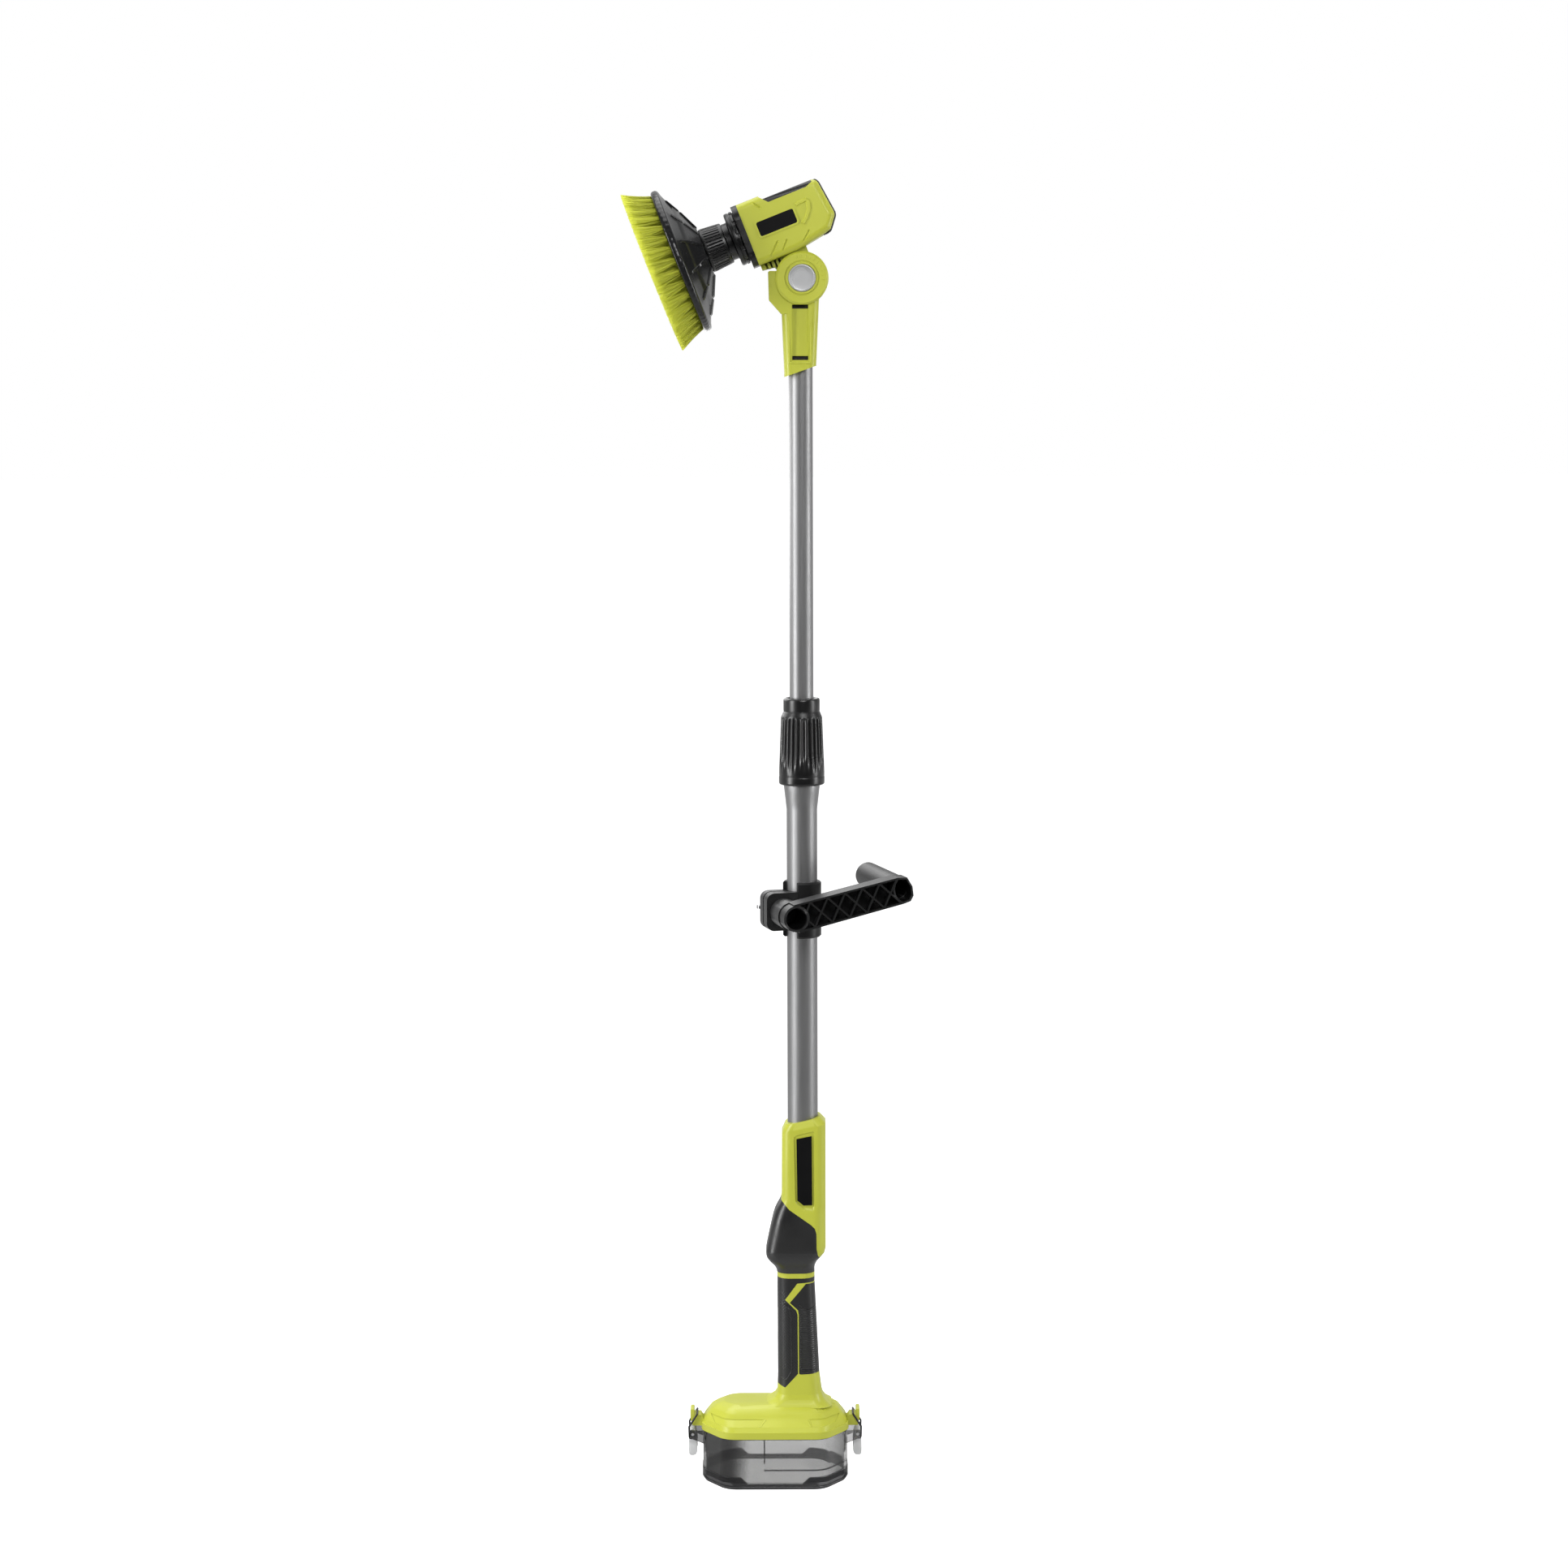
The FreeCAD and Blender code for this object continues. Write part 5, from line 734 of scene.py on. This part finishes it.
def head_shell(node, side):
    """One half of the head's housing with its slanted grooves, its slots and a raised bracket."""
    tools = []
    for start, end, half, deep in GROOVES:
        tools.append(on_head(bar_between(start, end, half, HEAD_FACE + deep, HEAD_FACE - 0.3, 0.25), side))
    inner, outer = sorted((side * 1.2, side * 12.4))
    for k in range(4):
        u = -33.5 + 4.6 * (k + 1)
        tools.append(box_tool((u - 0.1, inner, 14.0), (u + 1.9, outer, 26.5), HEAD))
    shell = eased(cut_all(cad_copy(node), tools), 0.7, 3, 32.0)
    bracket = on_head(ridge_strip("bracket", BRACKET, 2.3, HEAD_FACE - 1.1, HEAD_FACE + 0.6, 0.5), side)
    return merge(node + "_look", [shell, eased(bracket, 0.4, 2, 25.0)])


for node, side in (("head_shell_near", -1), ("head_shell_far", 1)):
    piece(head_shell(node, side), "head", lime, "lime_plastic", node)


def make_bumper():
    """Rubber insert and rear strip with slanted notches across the top."""
    tools = []
    for k in range(5):
        u = 1.0 + 7.6 * k
        outline = ((u, 86.3), (u + 3.4, 86.3), (u + 4.6, 84.3), (u + 1.2, 84.3))
        reach = 24.0 if k % 2 else 21.0
        for sign in (-1, 1):
            tools.append(prism("notch", outline, *sorted((sign * 13.0, sign * reach)), HEAD))
    return soften(cut_all(cad_copy("head_bumper"), tools), 0.35, 2, 32.0)


piece(make_bumper(), "head", soft_grey, "soft_grey", "head_bumper")


def make_nose_flange():
    """Flange at the front of the head with notches across its top and down its sides."""
    tools = []
    for y in (-20.0, -10.0, 0.0, 10.0, 20.0):
        tools.append(box_tool((-41.2, y - 1.6, 89.3), (-36.0, y + 1.6, 92.0), HEAD))
    for w in (38.0, 50.0, 62.0, 74.0):
        for sign in (-1, 1):
            inner, outer = sorted((sign * 27.2, sign * 29.0))
            tools.append(box_tool((-41.2, inner, w - 1.5), (-37.4, outer, w + 1.5), HEAD))
    return soften(cut_all(cad_copy("nose_flange"), tools), 0.5, 2, 32.0)


piece(make_nose_flange(), "head", satin_black, "black_plastic", "nose_flange")

# The stepped ring in front of the flange, with notched edges and the neck that the collar turns on
NOSE_ROWS = (
    (-40.5, 7.7, 0), (-40.5, 25.4, 0), (-41.4, 25.4, 0), (-41.4, 26.2, 0), (-42, 27, 1), (-44.2, 27, 1),
    (-44.6, 26.3, 0), (-45.6, 26.3, 0), (-46, 26.9, 0), (-48.6, 26.9, 0), (-49.7, 26.2, 0), (-50, 25, 0),
    (-50, 19.6, 0), (-50.6, 18.6, 0), (-55.6, 18.6, 0), (-55.9, 18.2, 0), (-55.9, 11.1, 0),
    (-44.5, 11.1, 0), (-44.5, 7.7, 0), (-40.5, 7.7, 0))


def nose_wave(i, angle):
    """A notch five steps long in every twenty."""
    return 1.0 if (i // 5) % 4 == 0 else 0.0


nose_ring = turned("nose_ring_look", NOSE_ROWS, 240, HEAD, DRIVE_W, 0.9, nose_wave)
soften(nose_ring, 0.15, 1, 35.0)
piece(nose_ring, "head", satin_black, "black_plastic", "nose_ring")


# The knuckle
def ring_tool(inner, outer, deep, proud, steps=96):
    """Closed ring about the pivot, with slanted walls, between two depths."""
    points = []
    for i in range(steps):
        angle = 2 * math.pi * i / steps
        c, q = math.cos(angle), math.sin(angle)
        for r, y in ((inner, proud), (inner + 0.5, deep), (outer - 0.5, deep), (outer, proud)):
            points.append((PIVOT_X + r * c, y, PIVOT_Z + r * q))
    return tidy_normals(from_lists("ring", points, tube_faces(steps, 4, True)))


FORK_FACE = -23.0
STEM_SLOPE = 1.0 / 72.0
WINDOW = ((-11, 1146.6), (-11.6, 1206.6), (10.6, 1206.6), (10, 1146.6), (-11, 1146.6))


def fork_half(node, side):
    """One half of the fork, the near one with a sunk ring, ticks round it, the window's frame and two thin
    plates in its openings for painted shade.
    """
    obj = cad_copy(node)
    if side > 0:
        return eased(obj, 0.8, 3, 32.0)
    boolean(obj, ring_tool(15.6, 17.6, FORK_FACE + 0.9, FORK_FACE - 0.3))
    eased(obj, 0.8, 3, 32.0)
    extra = []
    for degrees in range(-4, 112, 12):
        c, q = math.cos(math.radians(degrees)), math.sin(math.radians(degrees))
        start, end = ((PIVOT_X + r * c, PIVOT_Z + r * q) for r in (20.0, 22.4))
        extra.append(bar_between(start, end, 0.6, FORK_FACE - 0.4, FORK_FACE + 0.3, 0.5))
    for start, end in zip(WINDOW, WINDOW[1:]):
        level = -18.0 - (min(start[1], end[1]) - 1138.0) * STEM_SLOPE
        extra.append(bar_between(start, end, 1.1, level - 0.75, level + 0.9, 0.55))
    # Two thin plates in the window's openings, coloured black below as painted shade
    for low_z in (1149.6, 1200.1):
        extra.append(box_tool((-8.4, -13.2, low_z), (7.4, -12.7, low_z + 3.8)))
    return merge(node + "_look", [obj] + [eased(item, 0.22, 2, 25.0) for item in extra])


fork_look = piece(fork_half("fork_near", -1), "upper_pole", lime, "lime_plastic", "fork_near")
# Painted shade: the two thin plates in the window are black, standing in for the shade in its openings
fork_look.data.materials.append(black)
for face in fork_look.data.polygons:
    spot = face.center / MM
    if -13.3 < spot.y < -12.5 and abs(spot.x) < 7.6 and 1149.0 < spot.z < 1205.0:
        face.material_index = 1
piece(fork_half("fork_far", 1), "upper_pole", lime, "lime_plastic", "fork_far")


def make_button():
    """Silver button: dished edge, flat face and a raised arc with an arrow point."""
    centre = Matrix.Translation(PIVOT) @ Matrix.Rotation(math.radians(-90), 4, "Z")
    face = 24.2
    profile = ((7.0, 11.1), (7.0, 13.4), (6.8, 13.5), (1.1, 13.5), (0.5, 13.3), (0.1, 12.9), (0.0, 12.4),
               (0.05, 11.9), (0.35, 11.5), (0.4, 11.1), (0.36, 6.0), (0.34, 0.01))
    disc = turned("button", [(face - back, r, 0) for back, r in profile], 128, centre)
    base = -(face - 0.9)
    angles = [math.radians(62 + 106 * i / 24) for i in range(25)]
    path = [(PIVOT_X + 8.6 * math.cos(angle), PIVOT_Z + 8.6 * math.sin(angle)) for angle in angles]
    arc = ridge_strip("arrow", path, 0.55, -face, base)
    tip = prism("tip", ((-8.6, 1229.4), (-5.0, 1229.8), (-7.3, 1226.4)), -face, base)
    return merge("lock_button_look", [disc, eased(arc, 0.12, 2, 25.0), eased(tip, 0.12, 2, 25.0)])


piece(make_button(), "button", silver, "silver_button", "lock_button")


# The twist collar
def make_twist_collar():
    """Collar with deep flutes that fade towards a plain foot band, a shoulder and a rounded top ring."""
    collar_rows = (
        (723.5, 18.9, 0), (723.5, 21.4, 0), (723.9, 22.4, 0), (724.9, 23, 0), (726, 23.1, 0),
        (730.6, 23.1, 0), (731.6, 23, 0), (732, 22.75, 0), (732.5, 22.9, 0), (736, 22.95, 0),
        (740, 22.9, 0.12), (744, 22.75, 0.34), (748, 22.6, 0.62), (752, 22.45, 0.86), (756, 22.3, 1),
        (762, 22.05, 1), (768, 21.85, 1), (774, 21.6, 1), (780, 21.4, 1), (785, 21.2, 1),
        (788, 21.05, 0.96), (790, 20.95, 0.8), (791.4, 20.85, 0.4), (792.2, 20.6, 0), (793.6, 20, 0),
        (796.6, 18.75, 0), (797.4, 18.45, 0), (797.8, 18, 0), (798.3, 18.35, 0), (799, 18.4, 0),
        (808.6, 18.4, 0), (810, 18.1, 0), (810.8, 17.4, 0), (811, 16.6, 0), (811, 14.3, 0),
        (799.3, 14.2, 0), (799.3, 15, 0), (772, 16.6, 0), (772, 17.45, 0), (745.3, 17.45, 0),
        (745.3, 18.8, 0), (723.5, 18.9, 0))
    flutes = 26
    flute_depth = 1.75
    steps = flutes * 12
    points = []
    for i in range(steps):
        angle = 2 * math.pi * i / steps
        wave = (0.5 + 0.5 * math.cos(angle * flutes)) ** 1.4
        for z, r, deep in collar_rows:
            here = r - flute_depth * deep * wave
            points.append((here * math.cos(angle), here * math.sin(angle), z))
    return tidy_normals(from_lists("twist_collar_look", points, ring_faces(steps, len(collar_rows), True)))


piece(make_twist_collar(), "collar", satin_black, "black_plastic", "twist_collar")

# The main handle's section, row by row: height, left, right, half width and corner radius
SHELL_ROWS = (
    (91.5, -27, 19, 20, 13), (110, -26.4, 16.6, 19, 13), (209, -26.7, 11.8, 17.5, 13),
    (218, -26.7, 11.8, 17.5, 13), (224.5, -29, 11.9, 19, 13), (230.6, -34.2, 14, 21.8, 13),
    (235, -37.2, 17.8, 23, 13), (240, -38.1, 21.8, 23.5, 13), (246, -37.3, 23.3, 23.5, 13),
    (271, -32, 23.3, 22.5, 13), (283, -28.6, 23.3, 21.8, 13), (292, -23.6, 23.3, 21.2, 10),
    (297, -21.9, 23.3, 21, 10), (370.5, -21.4, 23.3, 20.5, 10))


def shell_row(z):
    """Left, right, half width and corner radius of the handle at one height."""
    for low, high in zip(SHELL_ROWS, SHELL_ROWS[1:]):
        if z <= high[0]:
            t = (z - low[0]) / (high[0] - low[0])
            return [a + (b - a) * t for a, b in zip(low[1:], high[1:])]
    return list(SHELL_ROWS[-1][1:])


def near_y(x, z):
    """Y of the handle's near surface at a place in the side view."""
    left, right, half, corner = shell_row(z)
    over = max(0.0, left + corner - x, x - (right - corner))
    return -(half - corner + math.sqrt(max(0.0, corner * corner - over * over)))


def skin_ridge(path, half, proud, far):
    """Ridge along a path in the side view that follows the handle's near surface, or the far one."""
    points = []
    count = len(path)
    for i, (x, z) in enumerate(path):
        before = path[max(0, i - 1)]
        after = path[min(count - 1, i + 1)]
        tx, tz = after[0] - before[0], after[1] - before[1]
        size = math.hypot(tx, tz) or 1.0
        nx, nz = -tz / size, tx / size
        for across, lift in ((-half, -0.4), (-half * 0.45, proud), (half * 0.45, proud), (half, -0.4)):
            px, pz = x + nx * across, z + nz * across
            y = near_y(px, pz) - lift
            points.append((px, -y if far else y, pz))
    return tidy_normals(from_lists("line", points, strip_faces(count)))


def dense(path, step):
    """Open path with extra places between its corners."""
    out = []
    for (ax, az), (bx, bz) in zip(path, path[1:]):
        parts = max(1, int(math.hypot(bx - ax, bz - az) / step))
        for k in range(parts):
            out.append((ax + (bx - ax) * k / parts, az + (bz - az) * k / parts))
    return out + [path[-1]]


def rounded_path(path, radius, closed=True, steps=5):
    """Path with its corners rounded."""
    out = []
    count = len(path)
    for i in range(count):
        if not closed and i in (0, count - 1):
            out.append(path[i])
            continue
        corner = Vector(path[i])
        back = Vector(path[i - 1]) - corner
        ahead = Vector(path[(i + 1) % count]) - corner
        reach = min(radius, back.length * 0.45, ahead.length * 0.45)
        first = corner + back.normalized() * reach
        last = corner + ahead.normalized() * reach
        for k in range(steps + 1):
            t = k / steps
            spot = first * (1 - t) ** 2 + corner * (2 * t * (1 - t)) + last * t ** 2
            out.append((spot.x, spot.y))
    return out


def frustum(outline, wide_y, narrow_y, draw):
    """Closed cutter: an outline at one depth, drawn in towards its middle at another."""
    cx = sum(a for a, b in outline) / len(outline)
    cz = sum(b for a, b in outline) / len(outline)
    points = [(a, wide_y, b) for a, b in outline]
    for a, b in outline:
        away = math.hypot(a - cx, b - cz)
        keep = (away - draw) / away
        points.append((cx + (a - cx) * keep, narrow_y, cz + (b - cz) * keep))
    count = len(outline)
    faces = [tuple(range(count)), tuple(range(2 * count - 1, count - 1, -1))]
    for i in range(count):
        j = (i + 1) % count
        faces.append((i, j, count + j, count + i))
    return tidy_normals(from_lists("frustum", points, faces))


def handle_shell(node, side):
    """One half of the housing, the near one with a sunk and bevelled recess round the bare plate."""
    obj = cad_copy(node)
    if side < 0:
        outline = ((-10.0, 366.0), (12.0, 371.4), (12.0, 285.4), (1.0, 285.4), (-8.6, 293.4))
        boolean(obj, frustum(rounded_path(outline, 3.0), -22.0, -19.7, 3.4))
    return soften(obj, 0.6, 3, 32.0)


for node, side in (("handle_shell_near", -1), ("handle_shell_far", 1)):
    piece(handle_shell(node, side), "base", lime, "lime_plastic", node)


def masked_bump(tree, shader, height, low, high, strength, distance):
    """Bump that shows only between two heights of the object."""
    z = axes(tree)[2]
    above = math_node(tree, "GREATER_THAN", z, low * MM)
    below = math_node(tree, "LESS_THAN", z, high * MM)
    masked = math_node(tree, "MULTIPLY", math_node(tree, "MULTIPLY", above, below), height)
    bump(tree, shader, masked, strength, distance)


def sine_ridges(tree, direction, turn, pitch):
    """Even ridges in object coordinates: a sine wave across a turned direction. Pitch in millimetres."""
    coords = tree.nodes.new("ShaderNodeTexCoord")
    mapping = tree.nodes.new("ShaderNodeMapping")
    mapping.inputs["Rotation"].default_value = (0.0, math.radians(turn), 0.0)
    texture = tree.nodes.new("ShaderNodeTexWave")
    texture.bands_direction = direction
    texture.wave_profile = "SIN"
    texture.inputs["Scale"].default_value = 2 * math.pi / (20.0 * pitch * MM)
    tree.links.new(coords.outputs["Object"], mapping.inputs["Vector"])
    tree.links.new(mapping.outputs["Vector"], texture.inputs["Vector"])
    return texture.outputs["Fac"]


def pad_material(name, kind):
    """Soft rubber with a moulded texture: fine ribs, or small diamonds."""
    colour = (0.0060, 0.0062, 0.0065)
    material, tree, shader = new_material(name, colour, 0.36, Specular_IOR_Level=0.70)
    tint(tree, shader, noise(tree, 60.0, 3.0), [c * 0.92 for c in colour], [c * 1.08 for c in colour])
    if kind == "ribs":
        masked_bump(tree, shader, sine_ridges(tree, "Z", 0, 2.3), 113.0, 183.0, 0.55, 0.0006)
    else:
        first, second = [sine_ridges(tree, "X", turn, 2.2) for turn in (45, -45)]
        diamonds = math_node(tree, "MULTIPLY", first, second)
        masked_bump(tree, shader, diamonds, 118.0, 200.0, 0.32, 0.0005)
    return material


def grip_pad(node, lines):
    """Soft pad with raised lines of a given half width and height that follow its surface on both sides."""
    parts = [eased(cad_copy(node), 0.45, 2, 32.0)]
    for path, half, proud in lines:
        path = dense(rounded_path(path, 3.0, False), 1.2)
        parts += [skin_ridge(path, half, proud, False), skin_ridge(path, half, proud, True)]
    return merge(node + "_look", parts)


front_lines = [(((-24.5, 188), (-17, 186), (-14, 180), (-12.6, 171), (-12.2, 117),
                 (-17.5, 107), (-24.5, 110)), 0.8, 0.6)]
rear_lines = [(((-2.8, 176), (-3, 117), (13, 117.6)), 0.7, 0.5),
              (((-3.8, 186), (-0.5, 182.6), (4.5, 180.6), (9, 181.4), (13, 184.6)), 0.7, 0.5)]
front_pad = grip_pad("grip_pad_front", front_lines)
piece(front_pad, "base", pad_material("pad_diamonds", "diamonds"), "soft_grey", "grip_pad_front")
rear_pad = grip_pad("grip_pad_rear", rear_lines)
piece(rear_pad, "base", pad_material("pad_ribs", "ribs"), "soft_grey", "grip_pad_rear")


# The side handle
def worn_material(name, colour, edge, roughness):
    """Moulded black plastic whose outer edges are rubbed paler."""
    material, tree, shader = new_material(name, colour, roughness, Specular_IOR_Level=0.40)
    edges = tree.nodes.new("ShaderNodeNewGeometry").outputs["Pointiness"]
    rubbed = math_node(tree, "MULTIPLY", ramp(tree, edges, 0.52, 0.62, 0.0, 1.0), noise(tree, 140.0, 3.0))
    tint(tree, shader, rubbed, colour, edge)
    bump(tree, shader, noise(tree, 2200.0, 2.0, 0.6), 0.25, GRAIN_DEPTH)
    return material


worn_black = worn_material("worn_black", (0.0085, 0.0087, 0.0090), (0.20, 0.20, 0.202), 0.42)
side_handle = soften(cad_copy("aux_handle"), 0.45, 2, 30.0)
piece(side_handle, "side_handle", worn_black, "black_plastic", "aux_handle")


# The lid
def slope_strip(start, end, half, proud):
    """Ridge on the lid's sloped long side, from one (x, z) to another, on the near side."""
    normal = Vector((0.0, -0.555, 0.832))

    def on_slope(x, z):
        """Place on the slope."""
        return Vector((x, -45.5 + (z - 65.0) * 1.5, z))

    a, b = on_slope(*start), on_slope(*end)
    along = (b - a).normalized()
    side = along.cross(normal).normalized()
    points = []
    for spot in (a, b):
        for across, lift in ((-half, -1.2), (-half * 0.5, proud), (half * 0.5, proud), (half, -1.2)):
            points.append(spot + side * across + normal * lift)
    faces = [(0, 1, 5, 4), (1, 2, 6, 5), (2, 3, 7, 6), (3, 0, 4, 7), (0, 3, 2, 1), (4, 5, 6, 7)]
    return tidy_normals(from_lists("strip", points, faces))


def level_between(value, steps):
    """Value read off a line through (place, level) pairs."""
    if value <= steps[0][0]:
        return steps[0][1]
    for (a, low), (b, high) in zip(steps, steps[1:]):
        if value <= b:
            return low + (high - low) * (value - a) / (b - a)
    return steps[-1][1]


# How much fuller the lid is drawn at each height, and what stays: its ears, and its neck round the pole
FULLER = ((60.8, 1), (65, 1.022), (71, 1.105), (75.5, 1.122), (90, 1.122))
EARS_FROM = 76.2
NECK_RADIUS = 20.0


def make_lid():
    """Lid with soft edges, slanted strips at both ends of its plateaus, and fuller ends towards its top."""
    parts = [eased(cad_copy("lid"), 1.5, 4, 24.0)]
    for low_x, high_x in ((-44.6, -38.4), (6.6, 0.4)):
        for mirror in (False, True):
            strip = slope_strip((low_x, 65.2), (high_x, 70.6), 1.3, 0.35)
            parts.append(eased(mirrored(strip) if mirror else strip, 0.25, 2, 25.0))
    obj = merge("lid_look", parts)
    for vertex in obj.data.vertices:
        x, y, z = vertex.co / MM
        away = x - BASE_X
        on_plateau = z > 78.8 and abs(y) < 26.3 and -45.4 < x < 29.4
        if abs(away) > EARS_FROM or on_plateau:
            continue
        share = level_between(z, FULLER)
        clear_of_pole = min(1.0, max(0.0, (math.hypot(x, y) - NECK_RADIUS) / 4.0))
        vertex.co.x = (BASE_X + away * (1.0 + (share - 1.0) * clear_of_pole)) * MM
    obj.data.update()
    return obj


piece(make_lid(), "base", lime, "lime_plastic", "lid")

# The latches: height of their pins, and how far out of the bin's middle they are
LATCH_Z = 48.0
LATCH_REACH = 85.2


def make_lever(name, sign):
    """Latch lever as a rounded channel that hangs from its pin, with a finger lip and a sunk front."""
    centre_x = BASE_X + sign * LATCH_REACH
    outline = ((-3.4, 1.6), (-1.6, 3.6), (0.4, 4.0), (2.6, 3.2), (3.9, 1.2), (4.1, -3.0), (4.3, -8.0),
               (4.4, -18.0), (4.0, -22.4), (2.8, -23.9), (-1.0, -24.0), (-3.4, -22.8), (-4.6, -19.0),
               (-4.6, -8.0), (-4.0, -3.0))
    path = [(centre_x + sign * a, LATCH_Z + b) for a, b in rounded_path(outline, 1.6, True, 3)]
    body = prism(name, path, -8.8, 8.8)
    inside = ((-7.0, -5.4), (2.4, -5.4), (2.6, -22.2), (-7.0, -22.2))
    hollow = [(centre_x + sign * a, LATCH_Z + b) for a, b in inside]
    boolean(body, prism("hollow", hollow, -6.9, 6.9))
    return soften(body, 0.7, 3, 30.0)


piece(make_lever("latch_lever_right_look", 1), "lever_right", lever_clear, "clear_lever", "latch_lever_right")
piece(make_lever("latch_lever_left_look", -1), "lever_left", lever_clear, "clear_lever", "latch_lever_left")


# The soft cover
def smooth_rows(rows, parts):
    """Rows of numbers with even curves between them, following the given rows closely."""
    out = []
    for i in range(len(rows) - 1):
        before = rows[max(0, i - 1)]
        first, last = rows[i], rows[i + 1]
        after = rows[min(len(rows) - 1, i + 2)]
        for k in range(parts):
            t = k / parts
            row = []
            for a, b, c, d in zip(before, first, last, after):
                row.append(0.5 * (2 * b + (c - a) * t + (2 * a - 5 * b + 4 * c - d) * t * t
                                  + (3 * b - a - 3 * c + d) * t ** 3))
            out.append(row)
    out.append(list(rows[-1]))
    return out


def loft(name, rows, corner_steps=10):
    """Closed surface through rounded rectangles given as (z, left, right, half, corner)."""
    points = []
    around = 4 * (corner_steps + 1)
    for z, left, right, half, corner in rows:
        for sx, sy, start in ((1, 1, 0), (-1, 1, 90), (-1, -1, 180), (1, -1, 270)):
            cx = right - corner if sx > 0 else left + corner
            cy = sy * (half - corner)
            for k in range(corner_steps + 1):
                angle = math.radians(start + 90.0 * k / corner_steps)
                points.append((cx + corner * math.cos(angle), cy + corner * math.sin(angle), z))
    faces = [tuple(range(around))[::-1], tuple(range((len(rows) - 1) * around, len(rows) * around))]
    return tidy_normals(from_lists(name, points, faces + tube_faces(len(rows), around)))


# Thickness of the cover, and its edge in the side view as shares of the bulge's width and height
COVER_WALL = 1.45
COVER_EDGE = (
    (0.132, 1.051), (0.285, 0.968), (0.393, 0.873), (0.751, 0.677), (0.816, 0.627), (0.842, 0.557),
    (0.845, 0.354), (0.868, 0.266), (0.922, 0.184), (1.3, 0.101), (1.3, 0.013), (-0.4, 0.013),
    (-0.4, 1.051))


def make_bulge_cover():
    """Soft cover over the bulge, drawn with even curves and a rounded edge where it meets the shells."""
    even = smooth_rows([row for row in SHELL_ROWS if 209.0 <= row[0] <= 298.0], 6)
    outer = loft("bulge_cover_look", even)
    inner = loft("inner", [(z, left + COVER_WALL, right - COVER_WALL, half - COVER_WALL, corner - COVER_WALL)
                           for z, left, right, half, corner in even])
    boolean(outer, inner)
    edge = [(-38.1 + 61.4 * a, 218.0 + 79.0 * b) for a, b in COVER_EDGE]
    boolean(outer, prism("edge", edge, -60.0, 60.0), "INTERSECT")
    return soften(outer, 0.6, 3, 35.0)


piece(make_bulge_cover(), "base", soft_grey, "soft_grey", "bulge_cover")

# CAD nodes that stay as they are: a better material and, where a width is given, rounded edges
FINISHES = (
    (soft_grey, 0.4, ("trigger",)),
    (worn_black, 0.8, ("pole_clamp",)),
    (badge, 0.2, ("barrel_plate", "head_plate")),
    (black, 0.3, ("battery_socket", "switch")),
    (black, 0.2, ("guide_bush", "lock_sleeve", "collet")),
    (aluminium, 0.25, ("outer_pole", "inner_pole")),
    (smoky, 0.3, ("bin",)),
    (seal, 0.15, ("lid_gasket",)),
    (steel, 0, ("lid_screws", "trigger_spring", "button_spring")),
    (steel, 0.15, ("latch_pins", "handle_screws", "fork_screw", "head_screws")),
    (steel, 0.2, ("clamp_washer", "pivot_bolt", "pivot_nut", "spindle", "spindle_bearing")),
    (steel, 0.2, ("motor", "gearbox")),
    (steel, 0.4, ("wing_nut",)),
    # Painted shade: the clamp bolt deep in the clamp's bore takes the dark wire material, standing in for the
    # shade there
    (wire, 0.2, ("clamp_bolt",)),
    (wire, 0, ("wire_bail_left", "wire_bail_right")),
    (contact, 0.1, ("battery_terminals",)))
for material, width, names in FINISHES:
    for name in names:
        nodes[name].data.materials.clear()
        nodes[name].data.materials.append(material)
        if width:
            soften(nodes[name], width)
